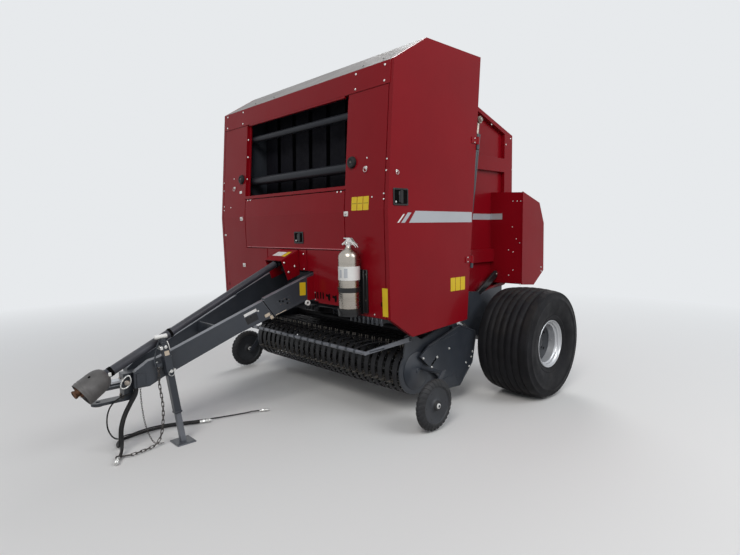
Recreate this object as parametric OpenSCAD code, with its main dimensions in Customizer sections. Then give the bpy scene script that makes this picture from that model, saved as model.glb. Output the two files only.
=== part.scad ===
/* [Front housing] */
// Width over the closed side doors
housing_w = 2480; // [2400:10:2560]
// Height of the fold across the front face
fold_h = 1702; // [1600:1:1780]
// How far the top of the front face leans back from the fold
brow_y = 79; // [40:1:120]
// How far the bottom of the front face leans back from the fold
chin_y = 20; // [5:1:40]
// Height of the bottom corner of the front face
chin_h = 894; // [850:1:900]
// Place of the lowest point of the side door
keel_y = 265; // [200:1:330]
// Height of the lowest point of the side door
keel_h = 732; // [715:1:760]
// Place of the bottom rear corner of the side door
heel_y = 971; // [930:1:1000]
// Height of the bottom rear corner of the side door
heel_h = 777; // [765:1:800]
// Place of the top rear corner of the side door
crest_y = 1144; // [1110:1:1160]
// Height of the top rear corner of the side door, the machine's highest point
crest_h = 3004; // [2980:1:3040]
// How far the top of the front face is below the highest point
brow_drop = 228; // [200:1:250]
// Place of the peak where the sloped roof strip meets the roof
peak_y = 433; // [380:1:480]
// How far that peak is below the highest point
peak_drop = 6; // [4:1:12]
// Thickness of the front panels
panel_t = 24; // [12:1:30]
// Half width of the middle opening with the window and the front door
middle_x = 760; // [700:1:780]
// Height of the red header from its bottom edge to its top edge
header_w = 171; // [150:1:200]
// Height of the window's sill
sill_h = 1905; // [1880:1:1930]
// Height of the bottom edge of the front door
door_low_h = 1402; // [1396:1:1440]
// Half width of the notch for the tongue in the front panels
notch_x = 385; // [375:1:420]
// Height of the front panels' bottom edge beside the notch
notch_h = 942; // [930:1:960]

/* [Doors] */
// Thickness of a side door
door_t = 36; // [24:1:44]
// Thickness of a side door's outer skin
door_skin = 8; // [5:1:12]
// Running gap round the doors
door_gap = 8; // [6:1:12]
// Radius of the door hinges' knuckles
knuckle_r = 14; // [11:1:18]
// Height of the lower hinge of a side door
low_hinge_h = 1295; // [1280:5:1310]
// Height of the upper hinge of a side door
high_hinge_h = 2305; // [2290:5:2320]
// Thickness of the front door
front_door_t = 18; // [12:1:19]

/* [Bale chamber] */
// Half width inside the chamber
chamber_x = 800; // [780:1:810]
// Thickness of the chamber's side sheets
sheet_t = 20; // [12:1:24]
// Outer half width of the tailgate
tailgate_x = 880; // [870:1:890]
// Place of the tailgate's hinge
hinge_y = 1210; // [1200:1:1220]
// How far the tailgate's hinge is below the highest point
hinge_drop = 119; // [110:1:125]
// Radius of the tailgate's hinge tube
hinge_r = 30; // [24:1:34]
// Place of the joint between front housing and tailgate
split_y = 1240; // [1230:1:1250]
// Radius of the belt rollers
roller_r = 60; // [50:1:70]
// Thickness of a belt
belt_t = 7; // [5:1:9]
// Width of a belt
belt_w = 200; // [180:1:220]
// Number of belts
belt_n = 6; // [5:1:6]

/* [Wheels] */
// Outer radius of the main tyre
tyre_r = 502; // [495:1:510]
// Section width of the main tyre
tyre_w = 530; // [500:1:540]
// Distance of the main tyre's middle from the centre line
tyre_x = 1421; // [1420:1:1440]
// Place of the axle behind the front face
axle_y = 1700; // [1695:1:1710]
// Radius of the main rim's flange
rim_r = 218; // [210:1:222]
// Outer radius of the gauge wheel
gauge_r = 202; // [196:1:206]
// Width of the gauge wheel
gauge_w = 93; // [84:1:96]
// Distance of the gauge wheel's middle from the centre line
gauge_x = 1387; // [1380:1:1400]
// Place of the gauge wheel's axle
gauge_y = 341; // [330:1:350]

/* [Pickup] */
// Place of the pickup's lift pivot
lift_y = 1000; // [990:1:1010]
// Height of the pickup's lift pivot
lift_h = 700; // [695:1:705]
// Place of the tine reel's shaft
reel_y = 490; // [485:1:495]
// Height of the tine reel's shaft
reel_h = 390; // [385:1:395]
// Radius to the tips of the tines
tine_r = 250; // [240:1:255]
// Half width between the pickup's end plates
pickup_x = 1060; // [1055:1:1065]
// Number of tine rows
tine_rows = 4; // [3:1:4]
// Number of tines in a row
tine_n = 24; // [20:1:26]
// Place of the windguard's pipe
guard_y = -100; // [-110:1:-90]
// Height of the windguard's pipe
guard_h = 640; // [635:1:645]
// Radius of the windguard's pipe
guard_r = 15; // [12:1:17]

/* [Tongue and jack] */
// Place of the tongue's front end
tip_y = -1430; // [-1440:1:-1420]
// Half spacing of the two arms at the front face
arm_rear_x = 300; // [290:1:305]
// Half spacing of the two arms at the tip
arm_tip_x = 82; // [80:1:90]
// Width of an arm
arm_w = 60; // [50:1:64]
// Place of the hitch bolt's bore
hitch_y = -1640; // [-1650:1:-1630]
// Height of the hitch bolt's bore
hitch_h = 425; // [420:1:430]
// Radius of the hitch bolt's bore
hitch_r = 16; // [14:1:18]
// Clear height between the clevis plates
clevis_gap = 80; // [70:1:86]
// Distance of the jack from the centre line
jack_x = 184; // [180:1:190]
// Place of the jack's foot
jack_y = -1128; // [-1135:1:-1120]
// Lean of the jack to the front
jack_lean = 8; // [6:1:9]
// Outside width of the jack's square tube
jack_w = 48; // [44:1:52]

/* [Driveline] */
// Place where the driveline meets the gearbox
input_y = -100; // [-105:1:-95]
// Drop from the front door's lower edge to the drive's input
input_drop = 105; // [103:1:110]
// Height of the driveline's front end
pto_h = 509; // [500:1:520]
// Turn of the driveline to the left
drive_turn = 5; // [4.5:0.1:5.5]
// Length of the driveline's shaft
drive_l = 1900; // [1890:1:1910]
// Radius of the driveline's shaft
shaft_r = 17; // [15:1:18]

/* [Tailgate cylinders] */
// Distance of the cylinders from the centre line
cyl_x = 945; // [943:1:950]
// Outer radius of the barrel
barrel_r = 36; // [32:1:38]
// Radius of the rod
rod_r = 18; // [15:1:20]
// Place of the barrel's foot pin
foot_y = 1290; // [1285:1:1300]
// Height of the barrel's foot pin
foot_h = 930; // [925:1:935]
// Place of the rod's eye pin on the tailgate
eye_y = 1540; // [1530:1:1545]
// How far the rod's eye pin on the tailgate is below the tailgate's hinge
eye_drop = 300; // [295:1:305]

/* [Fire extinguisher] */
// Radius of the bottle
bottle_r = 82; // [78:1:86]
// Height of the bottle without its valve
bottle_h = 500; // [480:1:510]
// Distance of the bottle from the centre line
bottle_x = 918; // [915:1:925]
// Place of the bottle's middle
bottle_y = -98; // [-104:1:-95]
// Height of the bottle's base
bottle_base = 928; // [926:1:932]

/* [Hidden] */
$fn = 48;
red = [0.58, 0.05, 0.07];
slate = [0.25, 0.27, 0.30];
black = [0.06, 0.06, 0.07];
steel = [0.75, 0.76, 0.78];
pale = [0.80, 0.80, 0.78];

// Heights that hang from the highest point
brow_h = crest_h - brow_drop;
peak_h = crest_h - peak_drop;
header_h = brow_h - header_w;
hinge_h = crest_h - hinge_drop;
eye_h = hinge_h - eye_drop;

side_x = housing_w / 2;
inner_x = side_x - door_t - door_gap;
post_x = inner_x - 10;
// Gap at which one piece seats on another
tie = 0.3;
door_hinge_h = [low_hinge_h, high_hinge_h];
// Heights of the underside and of the top of the tongue's tip
tip_low = 458;
tip_top = 572;
// Place of the middle of the machine's length behind the fold of the front face
mid_y = 300;
rear_lean = atan((crest_y - heel_y) / (crest_h - heel_h));
door_axis_x = side_x + 4;
door_axis_off = knuckle_r + 2;
front_door_h = sill_h - 45;
front_door_y = front_y(front_door_h) + front_door_t / 2;
pin_r = 6;

// Place of the front face at a height
function front_y(z) = z > fold_h
    ? brow_y * (z - fold_h) / (brow_h - fold_h)
    : chin_y * (fold_h - z) / (fold_h - chin_h);
// Place of the side door's rear edge at a height
function rear_y(z) = heel_y + (crest_y - heel_y) * (z - heel_h) / (crest_h - heel_h);

// A side view outline with columns place and height, drawn out from x0 to x1
module across(x0, x1) {
    translate([x0, 0, 0]) rotate([90, 0, 90]) linear_extrude(x1 - x0) children();
}
// A rod along X from x0 to x1
module rod(x0, x1, y, z, r) {
    translate([x0, y, z]) rotate([0, 90, 0]) cylinder(h = x1 - x0, r = r);
}
// A box between two corners
module bar(a, b) {
    translate(a) cube(b - a);
}
module both_sides() {
    children();
    mirror([1, 0, 0]) children();
}
// A slab of the folded front face between two heights, set back by d
module front_slab(x0, x1, z0, z1, t, d = 0) {
    zs = concat([z0], z0 < fold_h && z1 > fold_h ? [fold_h] : [], [z1]);
    n = len(zs) - 1;
    across(x0, x1) polygon(concat(
        [for (z = zs) [front_y(z) + d, z]],
        [for (i = [n:-1:0]) [front_y(zs[i]) + d + t, zs[i]]]));
}

sheet_rear = split_y - 8;
sheet_base = 800;
// Height of the side sheets' top edge
sheet_top = crest_h - 60;
module side_sheets() {
    color(slate) both_sides() difference() {
        across(chamber_x, chamber_x + sheet_t) {
            polygon([[170, 1000], [170, sill_h - 5], [90, sill_h + 55], [90, brow_h - 216],
                [170, brow_h - 136], [170, brow_h - 36], [420, sheet_top], [1130, sheet_top],
                [hinge_y - 45, hinge_h], [sheet_rear, hinge_h - 60], [sheet_rear, sheet_base],
                [420, sheet_base]]);
            translate([hinge_y, hinge_h]) circle(r = 45);
        }
        rod(chamber_x - 1, chamber_x + sheet_t + 1, hinge_y, hinge_h, hinge_r);
    }
}

// Cross beams between the side sheets and on to the posts
beam_rows = [[170, 230, 1010, 1250], [170, 230, brow_h - 136, brow_h - 46],
    [1060, 1130, crest_h - 154, crest_h - 74], [1120, 1200, 800, 880]];
module cross_beams() {
    color(slate) for (b = beam_rows)
        bar([-chamber_x, b[0], b[2]], [chamber_x, b[1], b[3]]);
    color(slate) rod(-tailgate_x - 26, tailgate_x + 26, hinge_y, hinge_h, hinge_r);
}

// Posts and outriggers that carry the doors and the panels
outrigger_rows = [[170, 230, 1010, 1250], [170, 230, brow_h - 136, brow_h - 46],
    [940, 990, 1500, 1560], [1030, 1080, crest_h - 404, crest_h - 344]];
module outer_frame() {
    color(slate) both_sides() {
        across(post_x - 40, post_x) polygon([[front_y(chin_h) + panel_t, chin_h],
            [front_y(fold_h) + panel_t, fold_h], [front_y(brow_h) + panel_t, brow_h - 20],
            [front_y(brow_h) + panel_t + 70, brow_h - 20], [170, fold_h], [170, chin_h]]);
        across(post_x - 40, post_x) polygon([for (c = [[-90, heel_h + 20], [-30, heel_h + 20],
            [-30, crest_h - 70], [-90, crest_h - 70]]) [rear_y(c[1]) + c[0], c[1]]]);
        for (r = outrigger_rows)
            bar([chamber_x + sheet_t, r[0], r[2]], [post_x - 30, r[1], r[3]]);
        for (r = [0, 1])
            bar([post_x - 40, 100, outrigger_rows[r][2]],
                [post_x, outrigger_rows[r][1], outrigger_rows[r][3]]);
        for (z = door_hinge_h) door_side_hinge(z);
    }
}
// The frame's half of a side door hinge, with its pin
module door_side_hinge(z) {
    y = rear_y(z) + door_axis_off;
    bar([post_x - 40, y - 120, z - 70], [post_x, y + 6, z - 40]);
    bar([post_x - 40, y - 6, z - 70], [door_axis_x, y + 6, z - 40]);
    translate([door_axis_x, y, z]) rotate([-rear_lean, 0, 0]) {
        translate([0, 0, -74]) cylinder(h = 40, r = knuckle_r);
        translate([0, 0, -74]) cylinder(h = 108, r = knuckle_r / 2);
    }
}

arm_in = 1000;
arm_out = 1040;
rail_base = 790;
module axle_frame() {
    color(slate) {
        both_sides() {
            bar([chamber_x + sheet_t, 260, rail_base], [905, 1235, rail_base + 90]);
            bar([860, 1100, rail_base], [arm_out, 1180, rail_base + 90]);
            across(arm_in, arm_out) polygon([[1100, 880], [1100, 760], [1580, tyre_r - 90],
                [axle_y + 110, tyre_r - 90], [axle_y + 110, tyre_r + 90], [1420, 960],
                [1250, 975], [1180, 880]]);
            bar([880, lift_y - 40, lift_h - 40], [905, lift_y + 40, rail_base]);
            rod(arm_out, tyre_x - 60, axle_y, tyre_r, 45);
            rod(tyre_x - 60, tyre_x + 60, axle_y, tyre_r, 30);
            rod(cyl_x - 40, arm_in, foot_y, foot_h, 20);
        }
        bar([-arm_in, axle_y - 60, tyre_r - 60], [arm_in, axle_y + 60, tyre_r + 60]);
        rod(-pickup_x - 15, pickup_x + 15, lift_y, lift_h, 25);
    }
}

module front_header() {
    color(red) front_slab(-inner_x, inner_x, header_h, brow_h, panel_t);
}

module roof_cover() {
    t = 10;
    color(pale) across(-inner_x, inner_x) polygon([[brow_y, brow_h + tie], [peak_y, peak_h],
        [crest_y, crest_h], [crest_y, crest_h - t], [peak_y + 3, peak_h - t],
        [brow_y + 20, brow_h + tie]]);
    color(slate) both_sides() for (y = [peak_y + 20, crest_y - 90])
        bar([chamber_x, y, sheet_top + tie], [chamber_x + sheet_t, y + 60, crest_h - t + 1]);
}

module front_panel() {
    color(red) difference() {
        front_slab(notch_x, inner_x, chin_h, header_h - tie, panel_t);
        bar([notch_x - 1, -50, door_low_h - door_gap], [middle_x + 5, 200, header_h]);
        bar([notch_x - 1, -50, chin_h - 1], [middle_x + 5, 200, notch_h]);
        rod(middle_x + 4, middle_x + 26, front_door_y, front_door_h, pin_r + 0.5);
    }
}
module front_panel_left() { front_panel(); }
module front_panel_right() { mirror([1, 0, 0]) front_panel(); }

// Sill and jambs round the window, behind the panels
module window_frame() {
    color(red) {
        both_sides() front_slab(middle_x - 30, middle_x + 30, notch_h + 60, header_h, 12, panel_t + tie);
        front_slab(-middle_x - 4.7, middle_x + 4.7, sill_h - 28, sill_h, 60);
        front_slab(-middle_x + 30, middle_x - 30, door_low_h - 28, door_low_h + 10, 12,
            panel_t + tie);
    }
}

// Rollers between the side sheets, columns place, height and radius
belt_top = [340, crest_h - 174];
belt_low = [300, 980];
roller_rows = [[130, brow_h - 310, 31], [120, sill_h + 151, 42],
    [belt_top[0], belt_top[1], roller_r], [belt_low[0], belt_low[1], roller_r],
    [620, 880, 100], [1080, crest_h - 244, roller_r], [1000, 870, 65]];
module rollers() {
    color(steel) for (r = roller_rows) rod(-chamber_x + tie, chamber_x - tie, r[0], r[1], r[2]);
}

// A belt loop round two rollers, columns place and height
module belt_loop(a, b, r) {
    l = norm(b - a);
    d = atan2(b[1] - a[1], b[0] - a[0]);
    translate(a) rotate(d) difference() {
        union() {
            circle(r = r + belt_t);
            translate([l, 0]) circle(r = r + belt_t);
            translate([0, -r - belt_t]) square([l, 2 * (r + belt_t)]);
        }
        circle(r = r);
        translate([l, 0]) circle(r = r);
        translate([0, -r]) square([l, 2 * r]);
    }
}
belt_pitch = (2 * chamber_x - 60) / belt_n;
module belts() {
    color(black) for (i = [0:belt_n - 1]) {
        x = -chamber_x + 30 + (i + 0.5) * belt_pitch;
        across(x - belt_w / 2, x + belt_w / 2)
            belt_loop(belt_top, belt_low, roller_r + tie);
    }
}

input_h = door_low_h - input_drop;
drive_fall = asin((input_h - pto_h) / drive_l);
// Front face of the cross beam that carries the gearbox and the tongue, less a tie
beam_face_y = 170 - tie;
module along_drive() {
    translate([0, input_y, input_h]) rotate([90 + drive_fall, 0, drive_turn]) children();
}
module gearbox() {
    color(slate) difference() {
        union() {
            bar([-110, -20, input_h - 107], [110, beam_face_y, input_h + 73]);
            bar([-150, 110, input_h - 167], [150, beam_face_y, input_h - 47]);
            along_drive() translate([0, 0, -110]) cylinder(h = 122 - tie, r = 30);
        }
        along_drive() translate([0, 0, -60]) cylinder(h = 80, r = shaft_r + 1);
    }
}
hood_x = 132;
module gearbox_hood() {
    // Columns place and height of the hood's side, and of its hollow
    side = [[3, input_h + 95], [-180, input_h + 9], [-113, input_h - 167], [10, input_h - 125]];
    hollow = [[30, input_h + 99], [-190, input_h - 4], [-190, input_h - 197], [30, input_h - 197]];
    color(red) difference() {
        across(-hood_x, hood_x) polygon(side);
        across(-hood_x + 8, hood_x - 8) polygon(hollow);
    }
    color(red) both_sides() front_slab(hood_x + tie, notch_x - tie, input_h - 87, door_low_h - door_gap, 8, 4);
}

arm_turn = atan((arm_rear_x - arm_tip_x) / -tip_y);
module tongue_arm() {
    // Columns place and height of the arm's side view
    shape = [[169, 1055], [169, 1262], [0, 1188], [-440, 1012], [-440, 1000], [tip_y + 160, 655],
        [tip_y + 90, 640], [tip_y - 10, tip_top], [tip_y - 10, tip_low], [tip_y + 90, tip_low],
        [tip_y + 190, 510], [-670, 753], [-400, 850], [-400, 842], [0, 985]];
    intersection() {
        translate([arm_rear_x, 0, 0]) rotate([0, 0, -arm_turn]) across(-arm_w / 2, arm_w / 2)
            polygon(shape);
        bar([0, tip_y - 20, 0], [600, beam_face_y, 2000]);
    }
}
jack_seat = [0, jack_y - 50, 560];
// Height of the underside of the lug for the safety chain
chain_h = 600;
module tongue() {
    color(slate) {
        both_sides() tongue_arm();
        bar([-130, tip_y + 15, 470], [130, tip_y + 75, 560]);
        bar([-150, -820, 740], [150, -800, 830]);
        bar([125, -60, -14] + jack_seat, [jack_x - jack_w / 2 - tie, 0, 14] + jack_seat);
        bar([110, -1290, chain_h], [185, -1258, chain_h + 22]);
    }
}
module hitch_clevis() {
    t = 20;
    color(slate) difference() {
        union() {
            bar([-46, tip_y - 50, hitch_h - clevis_gap / 2 - t], [46, tip_y + 14.7, 560]);
            for (s = [-1, 1]) translate([0, 0, hitch_h + s * (clevis_gap / 2 + t / 2) - t / 2]) {
                bar([-46, hitch_y, 0], [46, tip_y, t]);
                translate([0, hitch_y, 0]) cylinder(h = t, r = 46);
            }
        }
        translate([0, hitch_y, 0]) cylinder(h = 1000, r = hitch_r);
    }
}

module driveline_guard() {
    // Columns radius and distance along the driveline
    shape = [[34, 12], [31, 80], [31, 1130], [36, 1140], [36, 1660], [90, 1835], [90, 1860],
        [84, 1860], [84, 1836], [shaft_r + 6, 1670], [shaft_r + 6, 12]];
    color(black) along_drive() rotate_extrude() polygon(shape);
}
module driveline_shaft() {
    color(steel) along_drive() difference() {
        union() {
            translate([0, 0, -50]) cylinder(h = drive_l - 100, r = shaft_r);
            translate([0, 0, drive_l - 160]) cylinder(h = 160, r = 38);
        }
        translate([0, 0, drive_l - 80]) cylinder(h = 90, r = 17.5);
    }
}

module fire_extinguisher() {
    // Columns radius and height of the bottle
    shape = [[0, 0], [bottle_r, 0], [bottle_r, bottle_h - 70], [bottle_r - 14, bottle_h - 30],
        [30, bottle_h - 5], [20, bottle_h], [20, bottle_h + 40], [0, bottle_h + 40]];
    color(steel) translate([bottle_x, bottle_y, bottle_base]) {
        rotate_extrude() polygon(shape);
        translate([-75, -14, bottle_h + 25]) cube([150, 28, 16]);
        translate([-60, -10, bottle_h + 55]) cube([110, 20, 10]);
        translate([-8, -10, bottle_h + 30]) cube([16, 20, 30]);
    }
}
module extinguisher_bracket() {
    top = bottle_base + 330;
    color(black) difference() {
        union() {
            translate([bottle_x, bottle_y, bottle_base - 18]) cylinder(h = 53, r = bottle_r + 5);
            bar([bottle_x - 40, bottle_y, bottle_base - 18], [bottle_x + 40, front_y(top) - tie, top]);
        }
        translate([bottle_x, bottle_y, bottle_base - tie]) cylinder(h = 500, r = bottle_r + tie);
    }
}

module along_jack() {
    translate([jack_x, jack_y, 0]) rotate([jack_lean, 0, 0]) children();
}
// Lower and upper end of the jack's tube along the jack, and the top of its leg
jack_low = 236;
jack_top = 790;
leg_top = 488;
module jack_tube() {
    w = jack_w;
    wall = 4;
    color(slate) along_jack() difference() {
        union() {
            translate([-w / 2, -w / 2, jack_low]) cube([w, w, jack_top - jack_low]);
            translate([0, 0, jack_top]) cylinder(h = 22, r = 22);
        }
        translate([-w / 2 + wall, -w / 2 + wall, jack_low - 1])
            cube([w - 2 * wall, w - 2 * wall, jack_top - jack_low - 9]);
    }
}
module jack_leg() {
    w = jack_w - 10;
    color(steel) {
        along_jack() translate([-w / 2, -w / 2, 8]) cube([w, w, leg_top - 8]);
        translate([jack_x - 70, jack_y - 70, 0]) cube([140, 140, 10]);
    }
}

// Half section of the main tyre, columns radius and distance from its middle
tyre_shape = [[rim_r - 14, 0.36], [rim_r + 18, 0.42], [300, 0.47], [360, 0.5], [420, 0.485],
    [455, 0.45], [472, 0.415]];
groove_d = 12;
module tyre() {
    crown = 0.415 * tyre_w;
    rib = crown / 3.5;
    half = [for (p = tyre_shape) [p[0], p[1] * tyre_w]];
    tread = [for (i = [0:6]) let (x = crown - i * 2 * crown / 7, c = tyre_r - 30 * pow(x / crown, 2),
        e = crown - (i + 1) * 2 * crown / 7, f = tyre_r - 30 * pow(e / crown, 2))
        each i < 6 ? [[c, x], [f, e + 16], [f - groove_d, e + 16], [f - groove_d, e]]
            : [[c, x], [f, e]]];
    lower = [for (i = [len(half) - 1:-1:0]) [half[i][0], -half[i][1]]];
    rotate([0, 90, 0]) rotate_extrude($fn = 64) polygon(concat(half, tread, lower));
}
module rim() {
    // Columns radius and distance from the wheel's middle, outer side first
    bead = 0.36 * tyre_w;
    barrel_out = rim_r - 15;
    barrel_in = rim_r - 30;
    hub_in = 30.8;
    shape = [[hub_in, -58], [62, -58], [62, 14], [150, 20], [barrel_in, 44], [barrel_in, -bead - 5],
        [rim_r - 10, -bead - 28], [rim_r, -bead - 28], [rim_r, -bead - 16], [barrel_out, -bead - 1],
        [barrel_out, bead + 1], [rim_r, bead + 16], [rim_r, bead + 28], [rim_r - 10, bead + 28],
        [barrel_in, bead + 5], [barrel_in, 66], [150, 40], [76, 40], [62, 76], [hub_in, 76]];
    rotate([0, 90, 0]) rotate_extrude($fn = 64) polygon(shape);
}
module tyre_left() { color(black) translate([tyre_x, axle_y, tyre_r]) tyre(); }
module tyre_right() { mirror([1, 0, 0]) tyre_left(); }
module rim_left() { color(steel) translate([tyre_x, axle_y, tyre_r]) rim(); }
module rim_right() { mirror([1, 0, 0]) rim_left(); }

// Height of the gauge wheels' axles: the wheels clear the ground while the pickup is held up
gauge_h = gauge_r + 8;
module gauge_wheel() {
    w = gauge_w / 2;
    color(black) translate([gauge_x, gauge_y, gauge_h]) rotate([0, 90, 0]) rotate_extrude()
        polygon([[11, -w], [40, -w], [60, -w + 20], [130, -w + 20], [150, -w], [gauge_r - 12, -w],
            [gauge_r, -w + 16], [gauge_r, w - 16], [gauge_r - 12, w], [150, w], [130, w - 20],
            [60, w - 20], [40, w], [11, w]]);
}
module gauge_wheel_left() { gauge_wheel(); }
module gauge_wheel_right() { mirror([1, 0, 0]) gauge_wheel(); }

plate_t = 15;
channel_y = 720;
module pickup_frame() {
    stub_y = 545;
    stub_h = 405;
    strut_x = gauge_x - gauge_w / 2 - 28;
    color(slate) {
        both_sides() {
            difference() {
                across(pickup_x, pickup_x + plate_t) {
                    polygon([[340, 500], [365, 700], [440, 705], [560, 640], [960, 745], [1000, 745],
                        [1000, 655], [960, 655], [800, 330], [780, 200], [490, 190]]);
                    translate([reel_y, reel_h]) circle(r = 200);
                    translate([lift_y, lift_h]) circle(r = 45);
                }
                rod(pickup_x - 1, pickup_x + plate_t + 1, lift_y, lift_h, 26);
                rod(pickup_x - 1, pickup_x + plate_t + 1, reel_y, reel_h, 17);
            }
            rod(pickup_x + plate_t - 1, strut_x + 1, stub_y, stub_h, 20);
            rod(pickup_x + plate_t - 1, pickup_x + plate_t + 22, 400, 670, 10);
            across(strut_x, strut_x + 12) polygon([[stub_y - 25, stub_h + 20], [stub_y + 30, stub_h + 20],
                [gauge_y + 25, gauge_h - 25], [gauge_y - 25, gauge_h - 25]]);
            rod(strut_x, gauge_x + gauge_w / 2 + 8, gauge_y, gauge_h, 10);
        }
        rod(-pickup_x, pickup_x, 850, 620, 32);
    }
}
band_r = 205;
band_t = 5;
band_pitch = 2 * pickup_x / (tine_n + 1);
module stripper_bands() {
    color(slate) {
        for (i = [0:tine_n]) {
            x = -pickup_x + (i + 0.5) * band_pitch;
            across(x - 25, x + 25) difference() {
                union() {
                    translate([reel_y, reel_h]) circle(r = band_r);
                    translate([reel_y, reel_h + band_r - 60]) square([channel_y + 40 - reel_y, 60]);
                    translate([reel_y, reel_h - band_r]) square([channel_y + 40 - reel_y, 60]);
                }
                translate([reel_y, reel_h]) circle(r = band_r - band_t);
                translate([reel_y, reel_h - band_r + band_t])
                    square([channel_y + 60 - reel_y, 2 * (band_r - band_t)]);
            }
        }
        for (z = [reel_h + band_r - 40, reel_h - band_r])
            bar([-pickup_x + tie, channel_y + 35, z], [pickup_x - tie, channel_y + 75, z + 40]);
    }
}
bar_ring = 150;
module tine_reel() {
    color(black) {
        rod(-pickup_x - 25, pickup_x + 25, reel_y, reel_h, 16);
        rod(-pickup_x + 10, pickup_x - 10, reel_y, reel_h, 45);
        both_sides() rod(pickup_x - 22, pickup_x - 10, reel_y, reel_h, bar_ring + 25);
        for (k = [0:tine_rows - 1]) translate([0, reel_y, reel_h]) rotate([k * 360 / tine_rows + 20, 0, 0]) {
            rod(-pickup_x + 22, pickup_x - 22, 0, bar_ring, 14);
            for (i = [1:tine_n]) translate([-pickup_x + i * band_pitch, 0, bar_ring])
                cylinder(h = tine_r - bar_ring, r = 4);
        }
    }
}
module drive_shield() {
    // Columns place and height of the shield over the pickup's drive
    color(slate) {
        across(1105, 1120) polygon([[489, 510], [600, 590], [1031, 709], [1265, 622], [1275, 558],
            [1225, 328], [1035, 150], [873, 160], [570, 440]]);
        for (p = [[700, 480], [950, 690]]) rod(pickup_x + plate_t, 1105, p[0], p[1], 12);
    }
    color(slate) mirror([1, 0, 0]) {
        across(1105, 1120) polygon([[489, 510], [600, 590], [860, 640], [860, 330], [570, 440]]);
        rod(pickup_x + plate_t, 1105, 700, 480, 12);
    }
}
module windguard() {
    x0 = pickup_x + plate_t + 6;
    color(slate) {
        rod(-x0 - 12, x0 + 12, guard_y, guard_h, guard_r);
        both_sides() difference() {
            across(x0, x0 + 12) {
                polygon([[guard_y, guard_h - 12], [guard_y, guard_h + 12], [400, 690], [400, 650]]);
                translate([400, 670]) circle(r = 22);
            }
            rod(x0 - 1, x0 + 13, 400, 670, 11);
        }
    }
}

gate_side = [[split_y + 22, hinge_h - 70], [split_y + 60, hinge_h - 33], [1654, hinge_h - 157],
    [2262, hinge_h - 356], [2275, 1100], [2150, 960], [1480, 834], [split_y + 8, 812],
    [split_y + 8, hinge_h - 185]];
// Outer face of the tailgate's sunk side panels
sunk_x = tailgate_x - 40;
module tailgate() {
    color(red) {
        both_sides() {
            across(chamber_x, sunk_x) polygon(gate_side);
            across(sunk_x - 1, tailgate_x) {
                difference() {
                    polygon(gate_side);
                    polygon([[split_y + 48, hinge_h - 105], [1646, hinge_h - 195],
                        [2116, hinge_h - 353], [2116, 1000], [1480, 874], [split_y + 48, 850]]);
                }
                translate([split_y + 40, hinge_h - 744]) square([2150 - split_y - 40, 138]);
                translate([split_y + 40, 1217]) square([2150 - split_y - 40, 131]);
            }
            gate_wing();
        }
        across(-chamber_x - 1, chamber_x + 1) polygon([[split_y + 60, hinge_h - 33],
            [1654, hinge_h - 157], [2262, hinge_h - 356], [2275, 1100], [2150, 960], [2130, 985],
            [2245, 1112], [2234, hinge_h - 380], [1650, hinge_h - 187],
            [split_y + 60, hinge_h - 65]]);
    }
}
// The lamp wing on either side of the tailgate, outline columns place and height
wing_x = 1180;
wing_side = [[1976, 1918], [2310, 1816], [2407, 1608], [2417, 1110], [2217, 970], [1980, 990]];
wing_turn = 8.7;
module gate_wing() {
    t = 8;
    root = tailgate_x - 42;
    across(wing_x - t, wing_x) polygon(wing_side);
    difference() {
        across(root, wing_x - 1) {
            polygon([[1925, 1929], [2264, 1826], [2264, 1814], [1925, 1917]]);
            polygon([[1925, 1010], [1925, 998], [2216, 974], [2264, 1008], [2264, 1022], [2216, 987]]);
        }
        translate([root, 1930, 900]) rotate([0, 0, wing_turn]) translate([-50, -198, 0])
            cube([500, 200, 1100]);
    }
    translate([root, 1930, 1000]) rotate([0, 0, wing_turn]) cube([341, t, 912]);
    across(1012, wing_x - 1) polygon([[2405, 1600], [2415, 1120], [2403, 1120], [2393, 1600]]);
    bar([tailgate_x - 1, 2258, 1012], [1018, 2266, 1820]);
    across(1010, 1018) polygon([[2262, 1200], [2262, 1500], [2398, 1500], [2405, 1200]]);
}
// Outer face of the boss beside each rod's eye
eye_boss_x = tailgate_x + 12;
module tailgate_frame() {
    color(slate) both_sides() {
        difference() {
            across(tailgate_x + tie, tailgate_x + 22) {
                polygon([[hinge_y - 10, hinge_h - 44], [split_y + 40, hinge_h - 145],
                    [split_y + 150, hinge_h - 165], [split_y + 130, hinge_h - 85],
                    [hinge_y + 30, hinge_h + 32]]);
                translate([hinge_y, hinge_h]) circle(r = 46);
            }
            rod(800, tailgate_x + 30, hinge_y, hinge_h, hinge_r + 1);
        }
        across(tailgate_x + tie, tailgate_x + 14) polygon([[1475, 840], [1500, 812], [1925, 1066],
            [1925, 1108]]);
        rod(sunk_x + tie, eye_boss_x, eye_y, eye_h, 60);
    }
}
// Place of the wing's rear flange at a height
function flange_y(z) = 2405 + (1600 - z) / 48;
module tail_lamps() {
    color(red) both_sides() {
        for (z = [[1200, 1380], [1420, 1560]]) across(1040, 1160) polygon([
            [flange_y(z[0]) + tie, z[0]], [flange_y(z[0]) + 28, z[0]],
            [flange_y(z[1]) + 28, z[1]], [flange_y(z[1]) + tie, z[1]]]);
    }
}

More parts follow.
